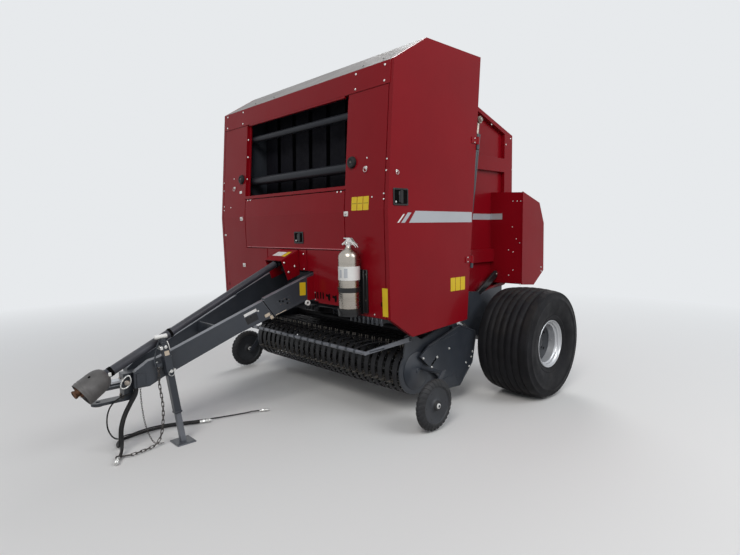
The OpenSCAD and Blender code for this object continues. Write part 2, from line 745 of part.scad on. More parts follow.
eye_r = 34;
cyl_rest = norm([eye_y - foot_y, eye_h - foot_h]);
cyl_lean = atan((eye_y - foot_y) / (eye_h - foot_h));
module along_cylinder() {
    translate([cyl_x, foot_y, foot_h]) rotate([-cyl_lean, 0, 0]) children();
}
barrel_l = cyl_rest - 140;
module cylinder_barrel() {
    color(slate) along_cylinder() difference() {
        union() {
            rod(-25, 25, 0, 0, eye_r);
            translate([0, 0, 20]) cylinder(h = barrel_l - 20, r = barrel_r);
        }
        rod(-30, 30, 0, 0, 20.6);
        translate([0, 0, 60]) cylinder(h = barrel_l, r = rod_r + 0.6);
    }
}
// The rod carries its pin, which ends beside the tailgate's boss, so the eye may drift along it
module cylinder_rod() {
    color(steel) along_cylinder() {
        translate([0, 0, cyl_rest]) rod(-25, 25, 0, 0, eye_r);
        translate([0, 0, cyl_rest]) rod(eye_boss_x + 4 - cyl_x, 42, 0, 0, 20);
        translate([0, 0, cyl_rest - 720]) cylinder(h = 700, r = rod_r);
    }
}
module cylinder_barrel_left() { cylinder_barrel(); }
module cylinder_barrel_right() { mirror([1, 0, 0]) cylinder_barrel(); }
module cylinder_rod_left() { cylinder_rod(); }
module cylinder_rod_right() { mirror([1, 0, 0]) cylinder_rod(); }

// The side door's outline, columns place and height
door_side = [[0, fold_h], [brow_y, brow_h], [peak_y, peak_h], [crest_y, crest_h], [heel_y, heel_h],
    [keel_y, keel_h], [chin_y, chin_h]];
module side_door() {
    middle = [560, 1850];
    color(red) {
        difference() {
            across(side_x - door_t, side_x) polygon(door_side);
            across(side_x - door_t - 1, side_x - door_skin)
                polygon([for (p = door_side) middle + 0.94 * (p - middle)]);
        }
        for (z = door_hinge_h) {
            y = rear_y(z) + door_axis_off;
            difference() {
                union() {
                    translate([door_axis_x, y, z]) rotate([-rear_lean, 0, 0])
                        translate([0, 0, -32]) cylinder(h = 64, r = knuckle_r);
                    bar([side_x - 12, y - 90, z - 26], [side_x + 6, y - 6, z + 26]);
                }
                translate([door_axis_x, y, z]) rotate([-rear_lean, 0, 0])
                    translate([0, 0, -80]) cylinder(h = 160, r = knuckle_r / 2 + 0.5);
            }
        }
    }
}
module side_door_left() { side_door(); }
module side_door_right() { mirror([1, 0, 0]) side_door(); }

module front_door() {
    w = middle_x - 5;
    color(red) {
        front_slab(-w, w, door_low_h, sill_h - 36, front_door_t);
        rod(-middle_x - 24, middle_x + 24, front_door_y, front_door_h, pin_r);
    }
}

// Free cords

// A ring of n points round c, square to the direction d
function ring(c, d, r, n) = let (
    w = d / norm(d),
    a = cross(w, abs(w[2]) < 0.9 ? [0, 0, 1] : [1, 0, 0]),
    u = a / norm(a), v = cross(w, u))
    [for (i = [0:n - 1]) c + r * (cos(360 * i / n) * u + sin(360 * i / n) * v)];
// A point at t between q[k] and q[k + 1] on the smooth curve through all the points of q
function on_curve(q, k, t) = let (
    m = len(q) - 1,
    a = q[k], b = q[k + 1],
    u = (b - q[max(k - 1, 0)]) / (k > 0 ? 2 : 1),
    v = (q[min(k + 2, m)] - a) / (k + 1 < m ? 2 : 1))
    a + t * u + t * t * (3 * (b - a) - 2 * u - v) + t * t * t * (u + v - 2 * (b - a));
// The curve through q with n steps from each point to the next
function smooth(q, n) = concat(
    [for (k = [0:len(q) - 2]) for (i = [0:n - 1]) on_curve(q, k, i / n)], [q[len(q) - 1]]);
module tube(q, r, steps = 2, n = 8) {
    path = smooth(q, steps);
    m = len(path);
    rings = [for (k = [0:m - 1]) ring(path[k],
        path[min(k + 1, m - 1)] - path[max(k - 1, 0)], r, n)];
    pts = [for (q = rings) each q];
    sides = [for (k = [0:m - 2]) for (i = [0:n - 1]) let (j = (i + 1) % n)
        [k * n + i, k * n + j, (k + 1) * n + j, (k + 1) * n + i]];
    caps = [[for (i = [n - 1:-1:0]) i], [for (i = [0:n - 1]) (m - 1) * n + i]];
    polyhedron(points = pts, faces = concat(sides, caps), convexity = 8);
}

// Height at which the hoses leave the tongue
exit_h = tip_low - tie;
// Clearance of the couplers over the ground
ground_gap = 5;
// Routes of the cords, columns X, Y and Z
hose_left_route = [[101, -1412, exit_h], [101, -1412, 438], [101, -1418, 414], [100, -1430, 390],
    [98, -1446, 364], [95, -1464, 332], [92, -1483, 296], [90, -1500, 256], [88, -1513, 214],
    [87, -1521, 172], [87, -1524, 130], [88, -1525, 102], [94, -1528, 70], [110, -1537, 42],
    [134, -1551, 26], [158, -1566, 20.5], [186, -1582, 20.5]];
hose_right_route = [[75, -1412, exit_h], [75, -1412, 438], [75, -1418, 414], [73, -1430, 390],
    [71, -1446, 364], [68, -1464, 332], [65, -1483, 296], [61, -1500, 256], [57, -1513, 214],
    [53, -1521, 172], [50, -1524, 130], [48, -1524, 102], [41, -1524, 72], [23, -1524, 43],
    [-6, -1522, 26], [-42, -1516, 17.5], [-84, -1503, 17.5], [-120, -1479, 17.5],
    [-144, -1445, 17.5], [-158, -1400, 17.5], [-170, -1330, 17.5], [-178, -1250, 17.5],
    [-172, -1160, 17.5], [-146, -1065, 17.5], [-110, -990, 17.5], [-86, -952, 20.5],
    [-71, -925, 20.5], [-56, -884, 20.5]];
cable_route = [[60, -1396, exit_h], [60, -1396, 444], [60, -1400, 428], [57, -1412, 416],
    [54, -1434, 409], [53, -1462, 407], [55, -1494, 403], [59, -1524, 395], [60, -1554, 378], [60, -1582, 347],
    [60, -1600, 304], [58, -1607, 256], [52, -1604, 208], [42, -1591, 164], [26, -1571, 126],
    [2, -1546, 96], [-30, -1518, 74], [-70, -1489, 58], [-110, -1463, 47], [-146, -1434, 39],
    [-182, -1402, 26], [-212, -1360, 13], [-234, -1300, 11], [-243, -1230, 11], [-236, -1150, 11],
    [-212, -1065, 11], [-176, -985, 11], [-136, -905, 11], [-100, -820, 11], [-66, -735, 11],
    [-38, -650, 11], [-14, -570, 11], [14, -490, 13], [29, -458, 17.5], [42, -430, 17.5],
    [59, -394, 17.5]];
chain_route = [[165, -1274, chain_h - tie], [165, -1274, 560], [165, -1275, 480],
    [165, -1268, 410], [165, -1260, 345], [164, -1257, 270], [162, -1260, 200], [160, -1266, 140],
    [157, -1277, 90], [155, -1294, 52], [155, -1318, 29], [158, -1348, 19], [168, -1390, 17.5],
    [177, -1430, 17.5], [182, -1468, 17.5], [180, -1503, 17.5], [172, -1530, 17.5]];
guard_chain_route = [[100, -1386, exit_h], [100, -1386, 430], [100, -1385, 380],
    [100, -1382, 320], [100, -1377, 260], [100, -1369, 200], [100, -1358, 145], [100, -1344, 97],
    [101, -1330, 59], [104, -1314, 31], [110, -1296, 15], [118, -1274, 11.5], [126, -1250, 11.5]];
module hose_left() { color(black) tube(hose_left_route, 11); }
module hose_right() { color(black) tube(hose_right_route, 11, 3); }
module light_cable() { color(black) tube(cable_route, 5); }
module safety_chain() { color(steel) tube(chain_route, 11, 3); }
module guard_chain() { color(steel) tube(guard_chain_route, 6, 3); }
// A coupler on the ground, starting at a and lying along the turn
module coupler(a, turn, l, r) {
    translate([a[0], a[1], r + ground_gap + 0.5]) rotate([0, 0, turn]) rotate([0, 90, 0]) {
        translate([0, 0, tie]) cylinder(h = l * 0.6, r = r * 0.8);
        translate([0, 0, l * 0.6]) cylinder(h = l * 0.4, r = r);
    }
}
module couplers() {
    color(steel) {
        coupler([186, -1582], -30, 90, 15);
        coupler([-56, -884], 70, 90, 15);
        coupler([59, -394], 65, 80, 12);
    }
}

// Sets what follows on the middle of the machine's length
module placed() { translate([0, -mid_y, 0]) children(); }

placed() side_sheets();
placed() cross_beams();
placed() outer_frame();
placed() axle_frame();
placed() front_header();
placed() roof_cover();
placed() front_panel_left();
placed() front_panel_right();
placed() window_frame();
placed() rollers();
placed() belts();
placed() gearbox();
placed() gearbox_hood();
placed() tongue();
placed() hitch_clevis();
placed() driveline_guard();
placed() driveline_shaft();
placed() extinguisher_bracket();
placed() fire_extinguisher();
placed() jack_tube();
placed() jack_leg();
placed() tyre_left();
placed() rim_left();
placed() tyre_right();
placed() rim_right();
placed() pickup_frame();
placed() stripper_bands();
placed() drive_shield();
placed() tine_reel();
placed() windguard();
placed() gauge_wheel_left();
placed() gauge_wheel_right();
placed() tailgate();
placed() tailgate_frame();
placed() tail_lamps();
placed() cylinder_barrel_left();
placed() cylinder_rod_left();
placed() cylinder_barrel_right();
placed() cylinder_rod_right();
placed() side_door_left();
placed() side_door_right();
placed() front_door();
placed() hose_left();
placed() hose_right();
placed() light_cable();
placed() safety_chain();
placed() guard_chain();
placed() couplers();
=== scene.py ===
import bpy
import bmesh
from itertools import product
from math import asin, atan, atan2, cos, pi as PI, radians, sin, tan
from mathutils import Matrix, Vector


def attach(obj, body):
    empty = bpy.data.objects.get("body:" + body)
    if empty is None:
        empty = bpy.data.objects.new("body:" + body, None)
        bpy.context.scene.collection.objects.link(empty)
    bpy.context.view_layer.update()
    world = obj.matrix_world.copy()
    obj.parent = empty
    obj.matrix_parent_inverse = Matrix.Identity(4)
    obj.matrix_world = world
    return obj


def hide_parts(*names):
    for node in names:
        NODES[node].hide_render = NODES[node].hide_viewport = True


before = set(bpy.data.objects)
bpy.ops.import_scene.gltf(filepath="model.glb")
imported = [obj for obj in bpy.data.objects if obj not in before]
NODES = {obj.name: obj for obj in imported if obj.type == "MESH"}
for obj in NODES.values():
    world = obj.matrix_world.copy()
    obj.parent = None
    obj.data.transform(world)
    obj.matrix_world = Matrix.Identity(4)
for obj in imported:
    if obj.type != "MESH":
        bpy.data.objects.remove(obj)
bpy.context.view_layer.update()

# The model's origin is this far behind the fold of the front face, and the shapes below
# are written with y = 0 at that fold, in metres.
MID = 0.300
HANDS = ("left", "right")
# The front face folds at this height; above and below it the face falls back over a height
FOLD_H = 1.702
UPPER_BACK, UPPER_RISE = 0.079, 1.074
LOWER_BACK, LOWER_DROP = 0.020, 0.808
# Where the photograph was taken from
VIEWPOINT = (3.8301, -2.6505, 1.5632)


def V(x, y, z):
    return Vector((x, y, z))


# Camera
def camera():
    data = bpy.data.cameras.new("camera")
    data.sensor_width = 36.0
    data.lens = 24.86
    cam = bpy.data.objects.new("camera", data)
    bpy.context.scene.collection.objects.link(cam)
    yaw, pitch, roll = radians(46.4147), radians(-5.3879), radians(-0.7044)
    ahead = V(-sin(yaw) * cos(pitch), cos(yaw) * cos(pitch), sin(pitch))
    right = V(cos(yaw), sin(yaw), 0)
    up = right.cross(ahead)
    right, up = (right * cos(roll) + up * sin(roll), up * cos(roll) - right * sin(roll))
    m = Matrix((right, up, -ahead)).transposed().to_4x4()
    m.translation = V(VIEWPOINT[0], VIEWPOINT[1] - MID, VIEWPOINT[2])
    cam.matrix_world = m
    bpy.context.scene.camera = cam


camera()


# Mesh tools
class Shape:
    """Points and faces that become one piece; k is the material of what is added next."""

    def __init__(self):
        self.v, self.f, self.m, self.k = [], [], [], 0

    def add(self, pts, faces):
        n = len(self.v)
        self.v += [Vector(p) for p in pts]
        self.f += [tuple(n + i for i in f) for f in faces]
        self.m += [self.k] * len(faces)


def piece(s, name, body, mats, hand="left", smooth=38, stands_for=()):
    mesh = bpy.data.meshes.new(name)
    side = -1 if hand == "right" else 1
    mesh.from_pydata([(side * p.x, p.y - MID, p.z) for p in s.v], [], s.f)
    for mat in mats if isinstance(mats, (list, tuple)) else [mats]:
        mesh.materials.append(mat)
    mesh.polygons.foreach_set("material_index", s.m)
    bm = bmesh.new()
    bm.from_mesh(mesh)
    bmesh.ops.recalc_face_normals(bm, faces=bm.faces)
    bm.to_mesh(mesh)
    bm.free()
    mesh.shade_smooth()
    mesh.set_sharp_from_angle(angle=radians(smooth))
    obj = bpy.data.objects.new(name, mesh)
    bpy.context.scene.collection.objects.link(obj)
    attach(obj, body)
    if stands_for:
        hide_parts(*stands_for)
    return obj


def at(point, axis=(0, 0, 1), spin=0.0):
    """A local frame whose third direction is the axis."""
    w = Vector(axis).normalized()
    a = V(0, 0, 1) if abs(w.z) < 0.9 else V(0, 1, 0)
    u = a.cross(w).normalized()
    v = w.cross(u)
    u, v = u * cos(spin) + v * sin(spin), v * cos(spin) - u * sin(spin)
    m = Matrix((u, v, w)).transposed().to_4x4()
    m.translation = Vector(point)
    return m


def put(m, x, y, z=0.0):
    """The same frame, moved along its own directions."""
    return m @ Matrix.Translation((x, y, z))


def turns(n):
    return [2 * PI * i / n for i in range(n)]


def ring_on(m, r, n, y=0.0, z=0.0):
    """Points on a circle round a place on a frame's second direction."""
    return [m @ V(r * cos(a), r * sin(a) + y, z) for a in turns(n)]


def along(origin, u, v):
    """A local frame from its first two directions."""
    u = Vector(u).normalized()
    w = u.cross(Vector(v)).normalized()
    m = Matrix((u, w.cross(u), w)).transposed().to_4x4()
    m.translation = Vector(origin)
    return m


def front_y(z):
    if z > FOLD_H:
        return UPPER_BACK * (z - FOLD_H) / UPPER_RISE
    return LOWER_BACK * (FOLD_H - z) / LOWER_DROP


def on_front(x, z, out=0.0):
    """On the folded front face: across, up the face, and out of it."""
    lean = atan(UPPER_BACK / UPPER_RISE) if z > FOLD_H else -atan(LOWER_BACK / LOWER_DROP)
    m = along((x, front_y(z), z), (1, 0, 0), (0, sin(lean), cos(lean)))
    return put(m, 0, 0, out)


def on_left(y, z, x=1.240):
    """On a face that looks to the left: rearward, up, and out."""
    return along((x, y, z), (0, 1, 0), (0, 0, 1))


def block(s, size, m, c=0.0015):
    """A box round the local origin with chamfered edges."""
    h = Vector(size) / 2
    c = min(c, 0.45 * min(size))
    idx, pts, ends = {}, [], (-1, 1)
    for signs in product(ends, repeat=3):
        for a in range(3):
            q = [k * (half - c) for k, half in zip(signs, h)]
            q[a] = signs[a] * h[a]
            idx[(*signs, a)] = len(pts)
            pts.append(m @ Vector(q))
    faces = []
    for a in range(3):
        b, d = (a + 1) % 3, (a + 2) % 3
        for sa in ends:
            loop = []
            for sb, sd in ((-1, -1), (1, -1), (1, 1), (-1, 1)):
                key = [0, 0, 0]
                key[a], key[b], key[d] = sa, sb, sd
                loop.append(idx[(*key, a)])
            faces.append(loop)
        for sb, sd in product(ends, repeat=2):
            lo, hi = [0, 0, 0], [0, 0, 0]
            lo[a], lo[b], lo[d] = -1, sb, sd
            hi[a], hi[b], hi[d] = 1, sb, sd
            faces.append((idx[(*lo, b)], idx[(*hi, b)], idx[(*hi, d)], idx[(*lo, d)]))
    faces += [[idx[(*signs, a)] for a in range(3)] for signs in product(ends, repeat=3)]
    s.add(pts, faces)


def span(s, lo, hi, c=0.0015):
    """A chamfered box between two corners."""
    lo, hi = Vector(lo), Vector(hi)
    block(s, hi - lo, Matrix.Translation((lo + hi) / 2), c)


def inset(q, c):
    out, n = [], len(q)
    for i in range(n):
        a, b, d = Vector(q[i - 1]), Vector(q[i]), Vector(q[(i + 1) % n])
        e, f = (b - a).normalized(), (d - b).normalized()
        n1, n2 = Vector((-e.y, e.x)), Vector((-f.y, f.x))
        out.append(b + (n1 + n2) * (c / (1 + n1.dot(n2))))
    return out


def stack(s, rows, m):
    """Outlines of equal count, one above the other, closed at both ends."""
    n = len(rows[0])
    faces = [tuple(range(n - 1, -1, -1)), tuple((len(rows) - 1) * n + i for i in range(n))]
    for r in range(len(rows) - 1):
        for i in range(n):
            j = (i + 1) % n
            faces.append((r * n + i, r * n + j, (r + 1) * n + j, (r + 1) * n + i))
    s.add([m @ Vector(p) for row in rows for p in row], faces)


def prism(s, outline, m, depth, c=0.0):
    """An outline, counter-clockwise from outside, drawn out by depth with a chamfered rim."""
    rows = [[(u, v, 0.0) for u, v in outline], [(u, v, depth - c) for u, v in outline]]
    if c:
        rows.append([(p[0], p[1], depth) for p in inset(outline, c)])
    stack(s, rows, m)


def plate(s, x0, y0, x1, y1, m, depth, c=0.0):
    prism(s, [(x0, y0), (x1, y0), (x1, y1), (x0, y1)], m, depth, c)


def rounded(w, h, r, k=4, cx=0.0, cy=0.0):
    """A rectangle with round corners, centred."""
    out = []
    for q, (sx, sy) in enumerate(((1, 1), (-1, 1), (-1, -1), (1, -1))):
        for i in range(k + 1):
            a = (q + i / k) * PI / 2
            out.append((cx + sx * (w / 2 - r) + r * cos(a), cy + sy * (h / 2 - r) + r * sin(a)))
    return out


def lathe(s, profile, m, n=24, loop=False):
    """Rows of radius and height, turned round the local third direction."""
    pts, rings = [], []
    for r, h in profile:
        if r < 1e-6:
            rings.append([len(pts)])
            pts.append(m @ V(0, 0, h))
        else:
            rings.append(list(range(len(pts), len(pts) + n)))
            pts += [m @ V(r * cos(a), r * sin(a), h) for a in turns(n)]
    faces = []
    pairs = list(zip(rings, rings[1:])) + ([(rings[-1], rings[0])] if loop else [])
    for a, b in pairs:
        for i in range(n):
            j = (i + 1) % n
            if len(a) == 1 and len(b) == 1:
                break
            quad = (a[i % len(a)], a[j % len(a)], b[j % len(b)], b[i % len(b)])
            faces.append(tuple(dict.fromkeys(quad)))
    if not loop:
        faces += [tuple(end) for end in (rings[0][::-1], rings[-1]) if len(end) > 1]
    s.add(pts, faces)


def tube(s, path, r, n=10, closed=False):
    """A round tube along a path; r is one radius or one for each point."""
    path = [Vector(p) for p in path]
    m = len(path)
    radii = r if isinstance(r, (list, tuple)) else [r] * m
    dirs = []
    for i in range(m):
        a = path[(i - 1) % m] if closed else path[max(i - 1, 0)]
        b = path[(i + 1) % m] if closed else path[min(i + 1, m - 1)]
        dirs.append((b - a).normalized())
    u = (V(0, 0, 1) if abs(dirs[0].z) < 0.9 else V(1, 0, 0)).cross(dirs[0]).normalized()
    pts = []
    for i in range(m):
        u = (u - dirs[i] * u.dot(dirs[i])).normalized()
        w = dirs[i].cross(u)
        pts += [path[i] + radii[i] * (cos(2 * PI * k / n) * u + sin(2 * PI * k / n) * w) for k in range(n)]
    faces = []
    for i in range(m if closed else m - 1):
        a, b = i * n, ((i + 1) % m) * n
        shift = 0
        if closed and i == m - 1:
            shift = min(range(n), key=lambda q: (pts[a] - pts[b + q]).length)
        for k in range(n):
            j = (k + 1) % n
            faces.append((a + k, a + j, b + (j + shift) % n, b + (k + shift) % n))
    if not closed:
        faces += [tuple(range(n - 1, -1, -1)), tuple((m - 1) * n + k for k in range(n))]
    s.add(pts, faces)


def flow(points, steps):
    """The smooth curve through the points, as part.scad draws it."""
    q = [Vector(p) for p in points]
    m, out = len(q) - 1, []
    for k in range(m):
        a, b = q[k], q[k + 1]
        u = (b - q[max(k - 1, 0)]) / (2 if k > 0 else 1)
        v = (q[min(k + 2, m)] - a) / (2 if k + 1 < m else 1)
        for i in range(steps):
            t = i / steps
            out.append(a + u * t + (3 * (b - a) - 2 * u - v) * t ** 2 + (u + v - 2 * (b - a)) * t ** 3)
    return out + [q[m]]


def bend(points, r, steps=5):
    """A line with its corners rounded to radius r."""
    q = [Vector(p) for p in points]
    out = [q[0]]
    for a, b, c in zip(q, q[1:], q[2:]):
        d, e = (a - b).normalized(), (c - b).normalized()
        half = d.angle(e) / 2
        cut = min(r / tan(half), 0.45 * (a - b).length, 0.45 * (c - b).length)
        p0, p1 = b + d * cut, b + e * cut
        out += [p0 * (1 - t) ** 2 + b * 2 * t * (1 - t) + p1 * t ** 2
                for t in [i / steps for i in range(steps + 1)]]
    return out + [q[-1]]


def disc(s, r, low, high, m, n):
    lathe(s, [(0, low), (r, low), (r, high), (0, high)], m, n)


def bolt(s, m, r=0.009, washer=True):
    """A hexagon head on its washer."""
    z = 0.0
    if washer:
        lathe(s, [(0, 0), (1.35 * r, 0), (1.35 * r, 0.16 * r), (1.25 * r, 0.24 * r), (0, 0.24 * r)], m, 20)
        z = 0.24 * r
    lathe(s, [(0, z), (r, z), (r, z + 0.5 * r), (0.86 * r, z + 0.62 * r), (0, z + 0.62 * r)], m, 6)


def dome(s, m, r=0.009):
    """A round headed bolt."""
    lathe(s, [(0, 0), (r, 0), (r, 0.12 * r), (0.86 * r, 0.38 * r), (0.5 * r, 0.56 * r), (0, 0.62 * r)], m,
          16)


def fasten(s, kind, m, spots, r):
    for spot in spots:
        kind(s, put(m, *spot), r)


# Materials
def shader(name):
    mat = bpy.data.materials.new(name)
    mat.use_nodes = True
    tree = mat.node_tree
    tree.nodes.clear()
    out = tree.nodes.new("ShaderNodeOutputMaterial")
    body = tree.nodes.new("ShaderNodeBsdfPrincipled")
    tree.links.new(body.outputs[0], out.inputs[0])
    return mat, tree, body


def node_of(tree, kind, values=None, sources=None):
    """A new shader node with its inputs set or linked."""
    node = tree.nodes.new("ShaderNode" + kind)
    for key, value in (values or {}).items():
        node.inputs[key].default_value = value
    for key, source in (sources or {}).items():
        tree.links.new(source, node.inputs[key])
    return node


def maths(tree, operation, a, b):
    node = node_of(tree, "Math", sources={0: a, 1: b})
    node.operation = operation
    return node.outputs[0]


def noise(tree, scale, detail=3.0, rough=0.5, stretch=None):
    source = node_of(tree, "TexCoord").outputs["Object"]
    if stretch:
        source = node_of(tree, "Mapping", {"Scale": stretch}, {"Vector": source}).outputs["Vector"]
    values = {"Scale": scale, "Detail": detail, "Roughness": rough}
    return node_of(tree, "TexNoise", values, {"Vector": source}).outputs["Fac"]


def ramp(tree, source, low, high, a, b):
    values = {"From Min": low, "From Max": high, "To Min": a, "To Max": b}
    return node_of(tree, "MapRange", values, {"Value": source}).outputs["Result"]


def blend(tree, fac, one, two):
    node = tree.nodes.new("ShaderNodeMix")
    node.data_type = "RGBA"
    for key, value in ((6, one), (7, two)):
        if isinstance(value, (tuple, list)):
            node.inputs[key].default_value = (*value, 1.0)
        else:
            tree.links.new(value, node.inputs[key])
    tree.links.new(fac, node.inputs[0])
    return node.outputs[2]


def scaled(colour, k):
    return tuple(min(1.0, c * k) for c in colour)


def finish_of(name, colour, rough, metal=0.0, coat=0.0, vary=0.12, scale=2.5, grain=None, grain_depth=0.0,
              edge=0.0015, dust=0.0, dust_colour=(0.30, 0.27, 0.23), stretch=None, coat_rough=0.06,
              spec=0.5):
    """A finish with cloudy colour, uneven gloss, fine grain, softened edges and settled dust."""
    mat, tree, body = shader(name)
    links = tree.links
    cloud = noise(tree, scale, 4.0, 0.55, stretch)
    shade = blend(tree, ramp(tree, cloud, 0.35, 0.65, 0.0, 1.0), scaled(colour, 1 - vary),
                  scaled(colour, 1 + vary))
    if dust:
        geo = node_of(tree, "NewGeometry")
        sep = node_of(tree, "SeparateXYZ", sources={0: geo.outputs["Normal"]})
        up = ramp(tree, sep.outputs["Z"], 0.1, 1.0, 0.15, 1.0)
        patch = ramp(tree, noise(tree, 9.0, 6.0, 0.65), 0.42, 0.72, 0.0, dust)
        shade = blend(tree, maths(tree, "MULTIPLY", up, patch), shade, dust_colour)
    links.new(shade, body.inputs["Base Color"])
    links.new(ramp(tree, noise(tree, scale * 2.3, 4.0, 0.6, stretch), 0.3, 0.7, rough * 0.85, rough * 1.2),
              body.inputs["Roughness"])
    body.inputs["Metallic"].default_value = metal
    body.inputs["Specular IOR Level"].default_value = spec
    if coat:
        body.inputs["Coat Weight"].default_value = coat
        body.inputs["Coat Roughness"].default_value = coat_rough
    normal = None
    if edge:
        soft = node_of(tree, "Bevel", {"Radius": edge})
        soft.samples = 4
        normal = soft.outputs["Normal"]
    if grain:
        bump = node_of(tree, "Bump", {"Strength": 1.0, "Distance": grain_depth},
                       {"Height": noise(tree, grain, 3.0, 0.6, stretch)})
        if normal:
            links.new(normal, bump.inputs["Normal"])
        normal = bump.outputs["Normal"]
    if normal:
        links.new(normal, body.inputs["Normal"])
    return mat


RED = finish_of("red_gloss", (0.255, 0.003, 0.009), 0.34, coat=0.12, vary=0.05, scale=1.6, grain=7,
                grain_depth=0.0012, edge=0.002, coat_rough=0.10, spec=0.10)
SLATE = finish_of("slate_gloss", (0.036, 0.042, 0.053), 0.36, coat=0.15, vary=0.14, scale=3.0, grain=60,
                  grain_depth=0.0003, edge=0.002, dust=0.14, coat_rough=0.16, spec=0.4)
PALE = finish_of("pale_roof", (0.235, 0.215, 0.207), 0.46, metal=0.2, vary=0.08, scale=2.0, grain=50,
                 grain_depth=0.0002, dust=0.25)
ZINC = finish_of("zinc_bright", (0.72, 0.72, 0.70), 0.30, metal=0.85, vary=0.12, scale=60, edge=0.0008)
STEEL = finish_of("roller_grey", (0.022, 0.024, 0.030), 0.36, metal=0.3, vary=0.16, scale=5, grain=90,
                  grain_depth=0.0003, stretch=(0.15, 1, 1), spec=0.2)
SHAFT = finish_of("shaft_bare", (0.34, 0.30, 0.26), 0.42, metal=0.9, vary=0.28, scale=30, grain=140,
                  grain_depth=0.0003)
BOTTLE = finish_of("bottle_polished", (0.42, 0.385, 0.34), 0.25, metal=1.0, vary=0.05, scale=3, grain=220,
                   grain_depth=0.00012, stretch=(1, 1, 14), edge=0)
BELT = finish_of("belt_woven", (0.008, 0.008, 0.011), 0.66, vary=0.2, scale=6, grain=160,
                 grain_depth=0.0007, spec=0.06)
PLASTIC = finish_of("guard_moulded", (0.034, 0.036, 0.047), 0.40, vary=0.2, scale=8, grain=240,
                    grain_depth=0.0003, dust=0.10)
BLACK = finish_of("black_enamel", (0.012, 0.012, 0.013), 0.30, coat=0.1, vary=0.2, scale=6, grain=90,
                  grain_depth=0.0002, dust=0.10, spec=0.3)
# Near-black for holes, slots, recess floors and bores: painted shade where the real depth is missing. It
# also colours plain black rings.
BLACK_AND_PAINTED_SHADE = finish_of("black_and_painted_shade", (0.004, 0.004, 0.004), 0.8, vary=0.3, scale=9, edge=0, spec=0.05)
TYRE = finish_of("tyre_black", (0.012, 0.012, 0.014), 0.60, vary=0.25, scale=5, grain=150,
                 grain_depth=0.0006, dust=0.14, dust_colour=(0.16, 0.13, 0.10), edge=0, spec=0.14)
RIM = finish_of("rim_lacquer", (0.55, 0.56, 0.58), 0.34, metal=0.55, coat=0.1, vary=0.06, scale=5,
                dust=0.06)
GAUGE = finish_of("wheel_moulded", (0.036, 0.037, 0.040), 0.52, vary=0.18, scale=8, grain=120,
                  grain_depth=0.0005, dust=0.16, dust_colour=(0.20, 0.16, 0.12), spec=0.2)
SILVER = finish_of("stripe_silver", (0.50, 0.52, 0.55), 0.35, metal=0.25, vary=0.03, scale=4, edge=0)
YELLOW = finish_of("decal_yellow", (0.82, 0.58, 0.015), 0.42, vary=0.04, scale=12, edge=0)
WHITE = finish_of("label_white", (0.86, 0.86, 0.84), 0.38, vary=0.04, scale=10, edge=0)
CREAM = finish_of("tag_cream", (0.66, 0.56, 0.44), 0.5, vary=0.06, scale=14, edge=0)
RUBBER = finish_of("hose_ribbed", (0.014, 0.014, 0.015), 0.55, vary=0.2, scale=14, grain=500,
                   grain_depth=0.0003, dust=0.22, dust_colour=(0.16, 0.13, 0.10), edge=0, spec=0.25)
LAMP = finish_of("lens_red", (0.32, 0.006, 0.008), 0.16, coat=0.9, vary=0.08, scale=26, grain=170,
                 grain_depth=0.0012, edge=0)
RUST = finish_of("rusty_iron", (0.13, 0.060, 0.032), 0.70, metal=0.4, vary=0.45, scale=40, grain=160,
                 grain_depth=0.0008)
TINE = finish_of("tine_spring", (0.26, 0.235, 0.205), 0.50, metal=0.5, vary=0.25, scale=30, edge=0,
                 dust=0.25)
# Dark grey for the gauge wheels' discs. On the road wheels' deep disc it is a painted shade, darker than
# the bright rim.
DISH_GREY_AND_SHADE = finish_of("dish_grey_and_painted_shade", (0.034, 0.037, 0.043), 0.50, metal=0.2, vary=0.15, scale=6, grain=80,
                 grain_depth=0.0003, dust=0.08)
LINK = finish_of("chain_iron", (0.10, 0.090, 0.085), 0.38, metal=0.8, vary=0.35, scale=45, edge=0)
# Pale metal on the hitch's top plates: a painted highlight of the sky on faces that look up.
PAINTED_HIGHLIGHT = finish_of("top_edge_painted_highlight", (0.58, 0.60, 0.63), 0.36, metal=0.5, vary=0.14, scale=9, grain=60,
                 grain_depth=0.0002, edge=0)
# Lighter slate for the windguard, the jack leg and the arms' top faces: worn metal, and a painted highlight
# where the tops catch the sky.
SLATE_WORN_AND_HIGHLIGHT = finish_of("slate_worn_and_painted_highlight", (0.185, 0.195, 0.22), 0.34, metal=0.3, vary=0.14, scale=9, grain=60,
                 grain_depth=0.0002, edge=0)
BELL = finish_of("bell_dusty", (0.105, 0.100, 0.098), 0.52, vary=0.22, scale=9, grain=200,
                 grain_depth=0.0004)
ROUGH = finish_of("deck_black", (0.012, 0.012, 0.014), 0.50, vary=0.3, scale=12, grain=120,
                  grain_depth=0.0008, edge=0, spec=0.3)
# Pale pink for the door's lower hem: a painted highlight of the sky along the fold.
HEM_HIGHLIGHT = finish_of("red_hem_painted_highlight", (0.56, 0.11, 0.13), 0.30, coat=0.5, vary=0.06, scale=3, edge=0)

NODE_FINISH = {RED: ["front_header", "front_panel_left", "front_panel_right", "window_frame",
                     "gearbox_hood", "tailgate", "side_door_left", "side_door_right", "front_door"],
               SLATE: ["side_sheets", "cross_beams", "outer_frame", "axle_frame", "gearbox", "tongue",
                       "hitch_clevis", "jack_tube", "pickup_frame", "drive_shield", "tailgate_frame",
                       "cylinder_barrel_left", "cylinder_barrel_right"], BLACK: ["extinguisher_bracket"],
               ROUGH: ["stripper_bands"], SLATE_WORN_AND_HIGHLIGHT: ["windguard", "jack_leg"], STEEL: ["rollers"],
               BELT: ["belts"], PALE: ["roof_cover"], SHAFT: ["cylinder_rod_left", "cylinder_rod_right"],
               LAMP: ["tail_lamps"]}
for finish, names in NODE_FINISH.items():
    for n in names:
        mesh = NODES[n].data
        mesh.materials.clear()
        mesh.materials.append(finish)

